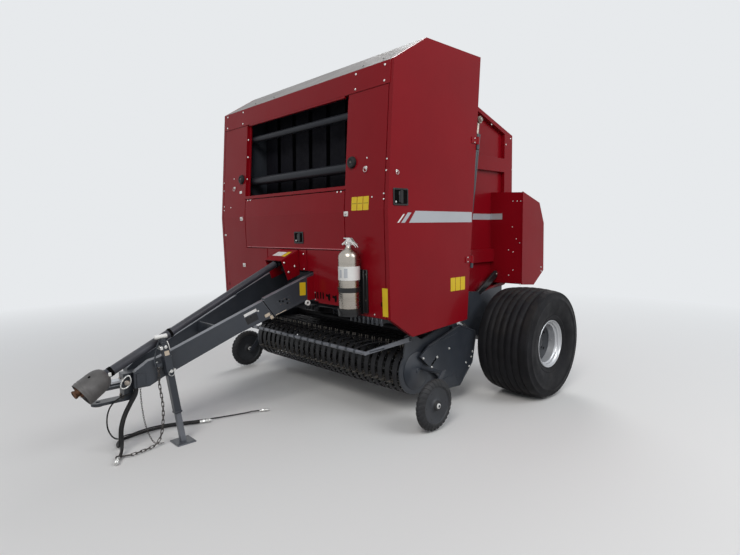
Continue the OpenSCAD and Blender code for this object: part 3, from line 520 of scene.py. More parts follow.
# Free cords
HOSE_LEFT = [(101, -1412, 457.7), (101, -1412, 438), (101, -1418, 414), (100, -1430, 390), (98, -1446, 364),
             (95, -1464, 332), (92, -1483, 296), (90, -1500, 256), (88, -1513, 214), (87, -1521, 172),
             (87, -1524, 130), (88, -1525, 102), (94, -1528, 70), (110, -1537, 42), (134, -1551, 26),
             (158, -1566, 20.5), (186, -1582, 20.5)]
HOSE_RIGHT = [(75, -1412, 457.7), (75, -1412, 438), (75, -1418, 414), (73, -1430, 390), (71, -1446, 364),
              (68, -1464, 332), (65, -1483, 296), (61, -1500, 256), (57, -1513, 214), (53, -1521, 172),
              (50, -1524, 130), (48, -1524, 102), (41, -1524, 72), (23, -1524, 43), (-6, -1522, 26),
              (-42, -1516, 17.5), (-84, -1503, 17.5), (-120, -1479, 17.5), (-144, -1445, 17.5),
              (-158, -1400, 17.5), (-170, -1330, 17.5), (-178, -1250, 17.5), (-172, -1160, 17.5),
              (-146, -1065, 17.5), (-110, -990, 17.5), (-86, -952, 20.5), (-71, -925, 20.5),
              (-56, -884, 20.5)]
CABLE = [(60, -1396, 457.7), (60, -1396, 444), (60, -1400, 428), (57, -1412, 416), (54, -1434, 409),
         (53, -1462, 407), (55, -1494, 403), (59, -1524, 395), (60, -1554, 378), (60, -1582, 347),
         (60, -1600, 304), (58, -1607, 256), (52, -1604, 208), (42, -1591, 164), (26, -1571, 126),
         (2, -1546, 96), (-30, -1518, 74), (-70, -1489, 58), (-110, -1463, 47), (-146, -1434, 39),
         (-182, -1402, 26), (-212, -1360, 13), (-234, -1300, 11), (-243, -1230, 11), (-236, -1150, 11),
         (-212, -1065, 11), (-176, -985, 11), (-136, -905, 11), (-100, -820, 11), (-66, -735, 11),
         (-38, -650, 11), (-14, -570, 11), (14, -490, 13), (29, -458, 17.5), (42, -430, 17.5),
         (59, -394, 17.5)]
SAFETY_CHAIN = [(165, -1274, 599.7), (165, -1274, 560), (165, -1275, 480), (165, -1268, 410),
                (165, -1260, 345), (164, -1257, 270), (162, -1260, 200), (160, -1266, 140),
                (157, -1277, 90), (155, -1294, 52), (155, -1318, 29), (158, -1348, 19), (168, -1390, 17.5),
                (177, -1430, 17.5), (182, -1468, 17.5), (180, -1503, 17.5), (172, -1530, 17.5)]
GUARD_CHAIN = [(100, -1386, 457.7), (100, -1386, 430), (100, -1385, 380), (100, -1382, 320),
               (100, -1377, 260), (100, -1369, 200), (100, -1358, 145), (100, -1344, 97), (101, -1330, 59),
               (104, -1314, 31), (110, -1296, 15), (118, -1274, 11.5), (126, -1250, 11.5)]


def route(points, steps=6):
    return [p / 1000 for p in flow(points, steps)]


def far_length(path):
    return sum((b - a).length for a, b in zip(path, path[1:]))


def coupler(name, tip, turn, l, r):
    """A quick coupler or a plug on the ground: ferrule, hexagon, sleeve and nose."""
    s = Shape()
    a = radians(turn)
    m = at((tip[0] / 1000, tip[1] / 1000, (r + 5.5) / 1000), (cos(a), sin(a), 0))
    k, l = r / 1000, l / 1000
    lathe(s, [(0, 0), (0.74 * k, 0), (0.80 * k, 0.03 * l), (0.80 * k, 0.10 * l), (0.74 * k, 0.12 * l),
              (0.80 * k, 0.14 * l), (0.80 * k, 0.22 * l), (0.70 * k, 0.26 * l), (0, 0.26 * l)], m, 20)
    lathe(s, [(0, 0.26 * l), (0.92 * k, 0.26 * l), (0.98 * k, 0.28 * l), (0.98 * k, 0.38 * l),
              (0.92 * k, 0.40 * l), (0, 0.40 * l)], m, 6)
    disc(s, 0.72 * k, 0.40 * l, 0.56 * l, m, 20)
    knurl = [(0, 0.56 * l)]
    for i in range(7):
        knurl += [(0.93 * k, (0.56 + 0.05 * i) * l), (k, (0.572 + 0.05 * i) * l),
                  (k, (0.598 + 0.05 * i) * l)]
    knurl += [(0.93 * k, 0.91 * l), (0.66 * k, 0.93 * l), (0.62 * k, l), (0.30 * k, l), (0.30 * k, 0.9 * l),
              (0, 0.9 * l)]
    lathe(s, knurl, m, 24)
    return piece(s, name, "frame", ZINC, stands_for=("couplers",))


def cord(name, points, d, node):
    path = route(points)
    s = Shape()
    tube(s, path, d / 2, 16)
    obj = piece(s, name, "frame", RUBBER, stands_for=(node,))


def chain(name, points, d, wire, node):
    """Links of round bar, each a quarter turn from the last, along the route."""
    path = route(points, 12)
    pitch = 2.35 * d / 2 * 1.25
    total = far_length(path)
    n = int(total / pitch)
    pitch = total / n
    s = Shape()
    walked, k = 0.0, 0
    stations = []
    want = [(i + 0.5) * pitch for i in range(n)]
    for a, b in zip(path, path[1:]):
        step = (b - a).length
        while k < n and want[k] <= walked + step:
            stations.append((a.lerp(b, (want[k] - walked) / step), (b - a).normalized()))
            k += 1
        walked += step
    for i, (p, w) in enumerate(stations):
        side = V(1, 0, 0) if abs(w.x) < 0.9 else V(0, 1, 0)
        u = w.cross(side).normalized()
        v = w.cross(u)
        lie = PI / 4 + (PI / 2 if i % 2 else 0)
        u = u * cos(lie) + v * sin(lie)
        half, rr = pitch / 2 + wire * 0.85, d / 2 - wire / 2
        ring = []
        for a in turns(16):
            stretch = (half - rr) * (1 if cos(a) >= 0 else -1)
            ring.append(p + w * (cos(a) * rr + stretch) + u * (sin(a) * rr))
        tube(s, ring, wire / 2, 7, closed=True)
    obj = piece(s, name, "frame", LINK, stands_for=(node,), smooth=60)


tip_left = coupler("coupler_left", (186, -1582), -30, 90, 15)
tip_right = coupler("coupler_right", (-56, -884), 70, 90, 15)
tip_cable = coupler("cable_plug", (59, -394), 65, 80, 12)
cord("hose_left_rubber", HOSE_LEFT, 0.022, "hose_left")
cord("hose_right_rubber", HOSE_RIGHT, 0.022, "hose_right")
cord("light_cable_rubber", CABLE, 0.010, "light_cable")


def hook(name, tip, heading, size):
    """The open hook at the safety chain's end."""
    s = Shape()
    a = radians(heading)
    u, v = V(cos(a), sin(a), 0), V(-sin(a), cos(a), 0)
    p = V(*tip) / 1000
    outline = ((-0.05, 0), (0.25, 0), (0.55, -0.16), (0.85, -0.2), (1.05, 0.0), (0.98, 0.28), (0.72, 0.38),
               (0.48, 0.28))
    pts = [p + u * (size * x) + v * (size * y) for x, y in outline]
    tube(s, flow(pts, 5), [0.0055 + 0.001 * sin(PI * i / 35) for i in range(36)], 10)
    return piece(s, name, "frame", LINK)


hook_end = hook("safety_hook", (172, -1530, 17.5), -107, 0.06)
chain("safety_chain_links", SAFETY_CHAIN, 0.022, 0.006, "safety_chain")
chain("guard_chain_links", GUARD_CHAIN, 0.012, 0.0032, "guard_chain")

# Road wheels
TYRE_R, TYRE_W, TYRE_X, AXLE_Y, RIM_R = 0.502, 0.530, 1.421, 1.700, 0.218


def main_tyre(hand):
    """Flotation tyre: seven round-edged ribs, a square shoulder with a raised line, rings by the bead."""
    s = Shape()
    crown, drop = 0.226, 0.020
    rib = 2 * crown / 7
    side = [(RIM_R - 0.014, 0.191), (RIM_R + 0.004, 0.214), (RIM_R + 0.018, 0.223), (RIM_R + 0.030, 0.225),
            (RIM_R + 0.034, 0.229), (RIM_R + 0.042, 0.230), (RIM_R + 0.046, 0.2285), (0.290, 0.245),
            (0.330, 0.2555), (0.372, 0.2590), (0.405, 0.2575), (0.409, 0.2600), (0.417, 0.2595),
            (0.421, 0.2560), (0.445, 0.2520), (0.462, 0.2475), (0.466, 0.2490), (0.472, 0.2480),
            (0.475, 0.2440), (0.4795, 0.234)]
    prof = list(side)

    def top(q):
        return TYRE_R - drop * (q / crown) ** 2
    for i in range(7):
        x = crown - i * rib
        e = x - rib
        if i < 6:
            e += 0.012
        if i:
            prof += [(top(x) - 0.006, x), (top(x - 0.005) - 0.0015, x - 0.005)]
        else:
            prof += [(top(x) - 0.001, x)]
        prof += [(top(x - rib / 2), x - rib / 2)]
        if i < 6:
            prof += [(top(e + 0.006) - 0.0015, e + 0.006), (top(e) - 0.006, e),
                     (top(e) - 0.0115, e - 0.004), (top(e) - 0.0115, e - 0.008)]
        else:
            prof += [(top(e) - 0.001, e)]
    prof += [(r, -z) for r, z in reversed(side)]
    m = at((TYRE_X, AXLE_Y, TYRE_R), (1, 0, 0))
    lathe(s, prof, m, 144, loop=True)
    piece(s, "tyre_tread_" + hand, "wheel_" + hand, TYRE, hand=hand, smooth=50,
          stands_for=("tyre_" + hand,))


def main_rim(hand):
    """Dished disc wheel: rolled flanges, stepped bright barrel, and a disc with ten bolts round its cap in
    dark grey, a painted shade deep in the dish.
    """
    s = Shape()
    bead = 0.36 * TYRE_W
    b_out, b_in = RIM_R - 0.015, RIM_R - 0.030
    m = at((TYRE_X, AXLE_Y, TYRE_R), (1, 0, 0))
    barrel = [(b_in - 0.020, 0.100), (b_in - 0.020, 0.092), (b_in, 0.080), (b_in, -0.090),
              (b_in - 0.012, -0.110), (b_in - 0.012, -0.150), (b_in, -bead + 0.004),
              (RIM_R - 0.012, -bead - 0.020), (RIM_R - 0.010, -bead - 0.027),
              (RIM_R - 0.004, -bead - 0.030), (RIM_R, -bead - 0.026), (RIM_R, -bead - 0.016),
              (b_out, -bead - 0.001), (b_out, bead + 0.001), (RIM_R, bead + 0.016), (RIM_R, bead + 0.026),
              (RIM_R - 0.004, bead + 0.030), (RIM_R - 0.010, bead + 0.027), (RIM_R - 0.013, bead + 0.018),
              (b_in + 0.003, bead + 0.006), (b_in + 0.001, bead - 0.004), (b_in - 0.004, bead - 0.012),
              (b_in - 0.012, bead - 0.016), (b_in - 0.014, bead - 0.024), (b_in - 0.014, 0.132),
              (b_in - 0.017, 0.124)]
    lathe(s, barrel, m, 120, loop=True)
    # The disc, cap and bolts are painted dark as shade deep in the dish.
    s.k = 3
    dish = [(0.0308, -0.058), (0.062, -0.058), (0.062, 0.050), (0.100, 0.070), (b_in - 0.021, 0.092),
            (b_in - 0.0185, 0.094), (b_in - 0.0185, 0.112), (b_in - 0.028, 0.110), (0.134, 0.098),
            (0.100, 0.088), (0.076, 0.084), (0.062, 0.088), (0.062, 0.104), (0.055, 0.108), (0.0308, 0.108)]
    lathe(s, dish, m, 120, loop=True)
    lathe(s, [(0, 0.090), (0.054, 0.090), (0.054, 0.106), (0.046, 0.116), (0.020, 0.121), (0, 0.122)], m,
          40)
    for a in turns(10):
        p = m @ V(0.100 * cos(a), 0.100 * sin(a), 0.0875)
        bolt(s, at(p, (1, 0, 0), a), 0.012)
    s.k = 1
    tube(s, [m @ V(0.1715, 0.0, z) for z in (0.088, 0.118, 0.140)], [0.006, 0.0045, 0.004], 10)
    # Near-black discs stand in for the disc's holes as painted shade.
    s.k = 2
    for i in range(5):
        a = 2 * PI * (i + 0.5) / 5
        disc(s, 0.014, 0.0968, 0.0985, put(m, 0.134 * cos(a), 0.134 * sin(a)), 20)
    piece(s, "rim_dish_" + hand, "wheel_" + hand, [RIM, ZINC, BLACK_AND_PAINTED_SHADE, DISH_GREY_AND_SHADE], hand=hand,
          stands_for=("rim_" + hand,))


def gauge_wheel(hand):
    """Narrow gauge wheel: round tyre with slanted bars, smooth dished disc, short hub with its cap."""
    s = Shape()
    x = 1.387
    m = at((x, 0.341, 0.210), (1, 0, 0))
    # Height off the middle and radius of the tyre's rubber under the bars
    skin = [(0.000, 0.1965), (0.010, 0.1950), (0.019, 0.1880), (0.027, 0.1740), (0.032, 0.1580),
            (0.0335, 0.1520)]
    inner = [(0.0335, 0.1480), (0.0300, 0.1440), (0.0240, 0.1400), (0.0130, 0.0700), (0.0150, 0.0480),
             (0.0240, 0.0400), (0.0400, 0.0370), (0.0440, 0.0340), (0.0440, 0.0110)]
    half = skin + inner
    prof = [(r, -z) for z, r in reversed(half)] + [(r, z) for z, r in half[1:]]
    lathe(s, prof, m, 96, loop=True)
    bars = 30
    for i in range(bars):
        for side in (-1, 1):
            a0 = 2 * PI * (i + (0.5 if side > 0 else 0)) / bars
            pts, faces = [], []
            rows = len(skin)
            for k, (z, rr) in enumerate(skin):
                a = a0 - 0.030 * k
                lift = (0.0055, 0.0055, 0.0055, 0.005, 0.004, 0.0005)[k]
                out = (0, 0, 0.15, 0.45, 0.75, 0.9)[k]
                for da, h in ((-0.050, -0.002), (-0.040, lift), (0.040, lift), (0.050, -0.002)):
                    q = rr + h * (1 - out * 0.5)
                    w = side * (max(z, 0.0015) + h * out)
                    pts.append(m @ V(q * cos(a + da), q * sin(a + da), w))
            for k in range(rows - 1):
                for q in range(4):
                    faces.append((4 * k + q, 4 * k + (q + 1) % 4, 4 * k + 4 + (q + 1) % 4, 4 * k + 4 + q))
            faces += [(3, 2, 1, 0), (4 * rows - 4, 4 * rows - 3, 4 * rows - 2, 4 * rows - 1)]
            s.add(pts, faces)
    s.k = 2
    for side in (-1, 1):
        mm = at(m @ V(0, 0, 0), (side, 0, 0))
        lathe(s, [(0.036, 0.0255), (0.040, 0.0248), (0.048, 0.0160), (0.070, 0.0140), (0.139, 0.0246),
                  (0.1436, 0.0305), (0.1410, 0.0312), (0.1375, 0.0262), (0.070, 0.0156), (0.050, 0.0176),
                  (0.041, 0.0262), (0.036, 0.0268)], mm, 96, loop=True)
    s.k = 1
    for side in (-1, 1):
        mm = at(m @ V(0, 0, side * 0.0440), (side, 0, 0))
        lathe(s, [(0, 0), (0.021, 0), (0.021, 0.004), (0.018, 0.006), (0, 0.006)], mm, 24)
    # Near-black discs stand in for the disc's holes as painted shade.
    s.k = 3
    for side in (-1, 1):
        mm = at(m @ V(0, 0, side * 0.0205), (side, 0, 0))
        for a in turns(6):
            disc(s, 0.0055, 0, 0.0006, put(mm, 0.118 * cos(a), 0.118 * sin(a), 0.0018), 12)
    piece(s, "gauge_tyre_" + hand, "gauge_" + hand, [GAUGE, WHITE, DISH_GREY_AND_SHADE, BLACK_AND_PAINTED_SHADE], hand=hand,
          stands_for=("gauge_wheel_" + hand,))


for hand in HANDS:
    main_tyre(hand)
    main_rim(hand)
    gauge_wheel(hand)

# Pickup
PICK_X, REEL_Y, REEL_H, RING = 1.060, 0.490, 0.390, 0.150
TINES, ROWS = 24, 4
PITCH = 2 * PICK_X / (TINES + 1)


def reel():
    """Four tine bars on their end spiders; each tine is one wire, coiled twice round its bar."""
    s = Shape()
    tube(s, [(x, REEL_Y, REEL_H) for x in (-1.085, 1.085)], 0.016, 20)
    tube(s, [(x, REEL_Y, REEL_H) for x in (-1.05, 1.05)], 0.045, 32)
    for side in (-1, 1):
        m = at((side * 1.038, REEL_Y, REEL_H), (side, 0, 0))
        lathe(s, [(0, 0), (0.172, 0), (0.175, 0.003), (0.175, 0.009), (0.172, 0.012), (0, 0.012)], m, 64)
    s.k = 1
    for k in range(ROWS):
        a = radians(20 + 360 / ROWS * k)
        out = V(0, -sin(a), cos(a))
        back = V(0, -cos(a), -sin(a))
        centre = V(0, REEL_Y, REEL_H) + out * RING
        s.k = 0
        tube(s, [centre + V(x, 0, 0) for x in (-1.038, 1.038)], 0.014, 16)
        s.k = 1
        for i in range(1, TINES + 1):
            p = centre + V(-PICK_X + i * PITCH, 0, 0)
            for side in (-1, 1):
                path = []
                for q in range(17):
                    b = 2 * PI * q / 8
                    coil = (out * cos(b) + back * sin(b)) * 0.0185
                    path.append(p + V(side * (0.004 + 0.010 * q / 16), 0, 0) + coil)
                foot = V(path[-1].x, p.y, p.z) + out * 0.0185
                wire = ((0.022, 0.001), (0.045, 0.004), (0.062, 0.010), (0.076, 0.018))
                path += [foot + out * t - back * c for t, c in wire]
                tube(s, path, 0.0028, 5)
    piece(s, "reel_tines", "reel", [BLACK, TINE], stands_for=("tine_reel",), smooth=55)


reel()


def windguard():
    """Spring rods that trail from the windguard's pipe, held by its clamps."""
    s = Shape()
    n = 21
    for i in range(n):
        x = -0.98 + 1.96 * i / (n - 1)
        path = flow([(x, -0.100, 0.656), (x, -0.082, 0.664), (x, -0.020, 0.672), (x, 0.080, 0.676),
                     (x, 0.180, 0.668), (x, 0.250, 0.652)], 4)
        tube(s, path, 0.0045, 7)
    s.k = 1
    for i in range(n):
        x = -0.98 + 1.96 * i / (n - 1)
        tube(s, [(x - 0.012, -0.100, 0.640), (x + 0.012, -0.100, 0.640)], 0.0168, 18)
        bolt(s, at((x, -0.1165, 0.640), (0, -1, 0)), 0.0055)
    for side in (-1, 1):
        x = side * 1.090
        bolt(s, at((side * 1.0935, 0.400, 0.670), (side, 0, 0)), 0.014)
        span(s, (x - 0.004, -0.06, 0.640), (x + 0.004, 0.10, 0.652), 0.001)
    piece(s, "windguard_rods", "windguard", [ROUGH, SLATE], smooth=50)


windguard()


def shield_trim(hand):
    """Bolts, the folded lower plate and the pressed edge of the pickup's drive shield."""
    s = Shape()
    m = on_left(0, 0, 1.120)
    rows = ([(0.877, 0.516), (0.529, 0.492), (0.637, 0.395), (0.710, 0.470), (1.126, 0.345), (1.205, 0.385),
             (1.175, 0.300), (1.225, 0.430)] if hand == "left" else [(0.560, 0.500), (0.640, 0.420),
                                                                     (0.820, 0.600), (0.820, 0.380)])
    fasten(s, bolt, m, rows, 0.008)
    s.k = 1
    if hand == "left":
        prism(s, [(0.762, 0.252), (0.800, 0.205), (0.873, 0.164), (1.028, 0.156), (0.962, 0.268),
                  (0.800, 0.262)], m, 0.004, 0.0012)
        tube(s, bend([(1.121, 0.600, 0.582), (1.121, 1.026, 0.700), (1.121, 1.258, 0.616),
                      (1.121, 1.268, 0.560), (1.121, 1.219, 0.335), (1.121, 1.035, 0.158),
                      (1.121, 0.876, 0.166)], 0.03), 0.004, 8)
        tube(s, [(1.121, 0.530, 0.545), (1.121, 0.700, 0.590), (1.121, 0.985, 0.640)], 0.003, 8)
        tube(s, [(1.124, 0.762, 0.252), (1.124, 0.800, 0.262), (1.124, 0.962, 0.268),
                 (1.124, 1.028, 0.156)], 0.0028, 8)
        # Near-black slots: painted shade where the shield has openings.
        s.k = 2
        for y, z in ((0.640, 0.420), (0.662, 0.437), (0.686, 0.455)):
            prism(s, rounded(0.016, 0.034, 0.008), put(m, y, z) @ Matrix.Rotation(-0.6, 4, "Z"), 0.0008)
    piece(s, "shield_trim_" + hand, "pickup", [ZINC, SLATE, BLACK_AND_PAINTED_SHADE], hand=hand)


for hand in HANDS:
    shield_trim(hand)


def pickup_trim():
    """Smooth cam covers, spindle caps, and a black sheet behind the bands that stands in for the shade
    there.
    """
    s = Shape()
    for side in (-1, 1):
        m = at((side * 1.075, REEL_Y, REEL_H), (side, 0, 0))
        s.k = 1
        lathe(s, [(0, 0), (0.150, 0), (0.156, 0.004), (0.150, 0.008), (0.120, 0.010), (0.110, 0.016),
                  (0, 0.016)], m, 64)
        s.k = 0
        bolt(s, at((side * 1.097, 0.400, 0.670), (side, 0, 0)), 0.010, washer=False)
        s.k = 1
        lathe(s, [(0, 0), (0.022, 0), (0.020, 0.006), (0.012, 0.009), (0, 0.010)],
              at(m @ V(0, 0, 0.016), (side, 0, 0)), 24)
    s.k = 2
    tube(s, [(x, 0.850, 0.620) for x in (-1.058, 1.058)], 0.0335, 32)
    # Black sheet behind the bands: painted shade that keeps the floor from showing through.
    span(s, (-1.110, 0.874, 0.300), (1.030, 0.878, 0.600), 0.001)
    piece(s, "pickup_trim", "pickup", [ZINC, SLATE, ROUGH])


pickup_trim()


# Fire extinguisher
def extinguisher():
    x, y, z0, r, h = 0.918, -0.098, 0.928, 0.082, 0.500
    m = at((x, y, z0))

    def up(dx, dy, dz):
        """A place from the middle of the bottle's top."""
        return x + dx, y + dy, z0 + h + dz

    s = Shape()
    lathe(s, [(0, 0.004), (r - 0.012, 0.004), (r - 0.004, 0.008), (r, 0.016), (r, 0.030),
              (r - 0.001, 0.032), (r, 0.034), (r, h - 0.074), (r - 0.002, h - 0.060),
              (r - 0.009, h - 0.044), (r - 0.022, h - 0.028), (r - 0.042, h - 0.014), (0.030, h - 0.006),
              (0.024, h), (0.022, h + 0.006), (0, h + 0.006)], m, 64)
    piece(s, "bottle_shell", "frame", BOTTLE, stands_for=("fire_extinguisher",), smooth=30)
    s = Shape()
    lathe(s, [(0, h + 0.004), (0.020, h + 0.004), (0.021, h + 0.010), (0.021, h + 0.018),
              (0.017, h + 0.022), (0.017, h + 0.040), (0.019, h + 0.044), (0.019, h + 0.056),
              (0, h + 0.056)], m, 28)
    g = at(up(0, -0.017, 0.030), (0, -1, 0))
    lathe(s, [(0, 0), (0.013, 0), (0.014, 0.002), (0.014, 0.010), (0.012, 0.012), (0, 0.012)], g, 24)
    tube(s, bend([up(-0.015, 0, 0.040), up(-0.040, 0, 0.040), up(-0.062, -0.006, 0.022)], 0.012), 0.009, 14)
    span(s, up(-0.045, -0.011, 0.068), up(0.020, 0.011, 0.074), 0.0015)
    for side in (-1, 1):
        m1 = along(up(0, side * 0.011, 0.050), (1, 0, 0), (0, 0, 1))
        outline = [(-0.020, -0.006), (0.022, -0.006), (0.078, -0.036), (0.092, -0.050), (0.096, -0.046),
                   (0.082, -0.030), (0.030, 0.022), (-0.044, 0.024), (-0.046, 0.018), (-0.012, 0.014)]
        prism(s, outline, put(m1, 0, 0, -0.001), 0.002)
    block(s, (0.072, 0.020, 0.003), at(up(0.062, 0, 0.028), (0.62, 0, 0.78)), 0.001)
    tube(s, [up(0.006, -0.020, 0.058), up(0.006, 0.020, 0.058)], 0.0022, 8)
    pull = V(*up(0.006, -0.030, 0.046))
    ring = [pull + V(0.002 * sin(a), 0.010 * cos(a), 0.013 * sin(a)) for a in turns(20)]
    tube(s, ring, 0.0014, 6, closed=True)
    piece(s, "bottle_valve", "frame", ZINC)
    s = Shape()
    disc(s, 0.0105, 0.0122, 0.0126, g, 20)
    piece(s, "gauge_face", "frame", WHITE)
    s = Shape()
    lathe(s, [(r + 0.0002, 0.255), (r + 0.0009, 0.256), (r + 0.0009, 0.358), (r + 0.0002, 0.359)], m, 64)
    s.k = 1
    for a, w, z0_, z1_ in ((-1.95, 0.16, 0.343, 0.350), (-1.75, 0.30, 0.275, 0.335),
                           (-1.20, 0.34, 0.275, 0.345)):
        pts = []
        for k in range(7):
            b = a + w * k / 6
            pts += [m @ V((r + 0.0012) * cos(b), (r + 0.0012) * sin(b), z) for z in (z0_, z1_)]
        s.add(pts, [(2 * k, 2 * k + 2, 2 * k + 3, 2 * k + 1) for k in range(6)])
    piece(s, "bottle_label", "frame", [WHITE, SILVER], smooth=30)
    s = Shape()
    lathe(s, [(r + 0.0002, 0.162), (r + 0.0028, 0.163), (r + 0.0028, 0.198), (r + 0.0002, 0.199)], m, 64,
          loop=True)
    lathe(s, [(r + 0.0002, -0.002), (r + 0.006, -0.002), (r + 0.007, 0.002), (r + 0.007, 0.030),
              (r + 0.006, 0.036), (r + 0.0035, 0.036), (r + 0.0035, 0.004), (r + 0.0002, 0.004)], m, 64,
          loop=True)
    block(s, (0.030, 0.014, 0.030), at((x - r - 0.010, y - 0.012, z0 + 0.180), (0, 0, 1)), 0.002)
    block(s, (0.044, 0.010, 0.022), at((x - r - 0.022, y - 0.008, z0 + 0.182), (0, 0, 1)), 0.002)
    span(s, (x - 0.030, 0.000, z0 - 0.006), (x + 0.092, 0.020, z0 + 0.328), 0.003)
    span(s, (x + 0.052, -0.012, z0 - 0.006), (x + 0.066, 0.004, z0 + 0.326), 0.003)
    piece(s, "bottle_straps", "frame", BLACK)
    s = Shape()
    for z in (1.02, 1.22):
        bolt(s, at((x + 0.078, 0.000, z), (0, -1, 0)), 0.006)
    piece(s, "bottle_bracket_bolts", "frame", LINK)


extinguisher()

# Front face
ARM = atan(218 / 1430)


def on_arm(y, z, side=1, out=0.0):
    """On the outer face of a tongue arm; y is measured along the fold frame."""
    d = V(-side * sin(ARM), -cos(ARM), 0)
    face = V(side * cos(ARM), -sin(ARM), 0)
    p = V(side * 0.300, 0, 0) + face * 0.030 + d * (-y / cos(ARM)) + V(0, 0, z)
    return along(p + face * out, -side * d, (0, 0, 1))


def front_bolts():
    s = Shape()
    for x in (-1.155, -0.843, 0.843, 1.155):
        for z in (2.745, 2.632):
            dome(s, on_front(x, z, 0.006), 0.009)
    for x in (-0.665, -0.711, 0.665, 0.711):
        dome(s, on_front(x, 1.862), 0.008)
    for z in (2.459, 2.290, 2.074):
        dome(s, on_front(-0.735, z), 0.009)
    for x, z in ((1.071, 0.918), (1.21, 2.068), (1.207, 1.986), (1.192, 1.821), (1.193, 1.781),
                 (1.069, 1.802), (0.998, 2.097), (-1.21, 2.068), (-1.207, 1.986), (-1.190, 1.817),
                 (-1.188, 1.779), (-1.050, 1.805), (-0.998, 2.097)):
        dome(s, on_front(x, z), 0.007)
    for x, z in ((0.992, 2.024), (-0.977, 2.003)):
        bolt(s, on_front(x, z), 0.010)
        tube(s, ring_on(on_front(x, z, 0.010), 0.020, 24, -0.012), 0.002, 6, closed=True)
    piece(s, "front_bolts", "frame", ZINC)

    s = Shape()
    for side in (-1, 1):
        lathe(s, [(0, 0), (0.046, 0), (0.046, 0.010), (0.041, 0.020), (0.030, 0.024), (0.024, 0.020),
                  (0, 0.018)], on_front(side * 0.835, 2.078), 32)
        s.k = 1
        lathe(s, [(0, 0.018), (0.012, 0.018), (0.010, 0.023), (0, 0.024)], on_front(side * 0.835, 2.078),
              20)
        s.k = 0
    piece(s, "front_grommets", "frame", [RUBBER, LINK])

    s = Shape()
    for i in range(3):
        prism(s, rounded(0.060, 0.104, 0.004), on_front(0.874 + 0.066 * i, 1.760), 0.0006)
    prism(s, rounded(0.056, 0.214, 0.004), on_front(1.188, 1.020), 0.0006)
    s.k = 1
    for i in range(3):
        m = on_front(0.874 + 0.066 * i, 1.760, 0.0006)
        prism(s, rounded(0.050, 0.003, 0.001, 2, 0, 0.001), m, 0.0003)
    s.k = 2
    prism(s, rounded(0.040, 0.018, 0.003), on_front(-1.174, 1.521), 0.003, 0.001)
    s.k = 3
    prism(s, rounded(0.044, 0.026, 0.002), on_front(-0.856, 1.951), 0.0012, 0.0004)
    for x, z in ((-0.829, 1.684), (-0.822, 1.217), (0.781, 1.686)):
        clip = on_front(x, z)
        s.k = 2
        prism(s, rounded(0.048, 0.038, 0.005), clip, 0.005, 0.0015)
        prism(s, rounded(0.026, 0.010, 0.003, 4, 0.003, 0.004), put(clip, 0, 0, 0.005), 0.006, 0.001)
        s.k = 1
        prism(s, rounded(0.016, 0.004, 0.001, 2, -0.004, -0.008), put(clip, 0, 0, 0.005), 0.0004)
    piece(s, "front_decals", "frame", [YELLOW, BLACK, WHITE, ZINC])


front_bolts()


def paddle_latch(s, m, w, h):
    """A sunk tray with a raised rim, an upright paddle in it, and its lock; the tray's floor is a painted
    shade.
    """
    s.k = 2
    outer, inner = rounded(w, h, 0.010), rounded(w - 0.022, h - 0.022, 0.006)
    rows = [[(u, v, 0.0) for u, v in outer], [(u, v, 0.004) for u, v in outer],
            [(u * 0.975, v * 0.97, 0.006) for u, v in outer], [(u, v, 0.006) for u, v in inner],
            [(u, v, 0.0008) for u, v in inner]]
    stack(s, rows, m)
    # Near-black floor of the tray: painted shade for the recess's depth.
    s.k = 1
    prism(s, rounded(w - 0.026, h - 0.026, 0.005), put(m, 0, 0, 0.0009), 0.0004)
    s.k = 2
    prism(s, rounded(0.030, h - 0.030, 0.008, 4, 0.008), put(m, 0, 0, 0.0012), 0.009, 0.003)
    block(s, (0.016, h - 0.044, 0.006), put(m, -0.014, 0, 0.004), 0.002)
    s.k = 3
    lathe(s, [(0, 0.0012), (0.007, 0.0012), (0.007, 0.0052), (0.004, 0.006), (0, 0.006)],
          put(m, -w / 2 + 0.028, -h / 2 + 0.026), 20)


def front_door_trim():
    """Latch recess with its paddle, and a pale strip along the door's lower edge, a painted highlight of
    the sky on the hem.
    """
    s = Shape()
    paddle_latch(s, on_front(0.1415, 1.4985), 0.136, 0.104)
    # Pale hem strip: painted highlight along the fold.
    s.k = 4
    span(s, (-0.745, front_y(1.404) - 0.006, 1.4015), (0.745, front_y(1.404) + 0.004, 1.4090), 0.002)
    piece(s, "front_door_trim", "front_door", [RED, BLACK_AND_PAINTED_SHADE, BLACK, ZINC, HEM_HIGHLIGHT])


front_door_trim()


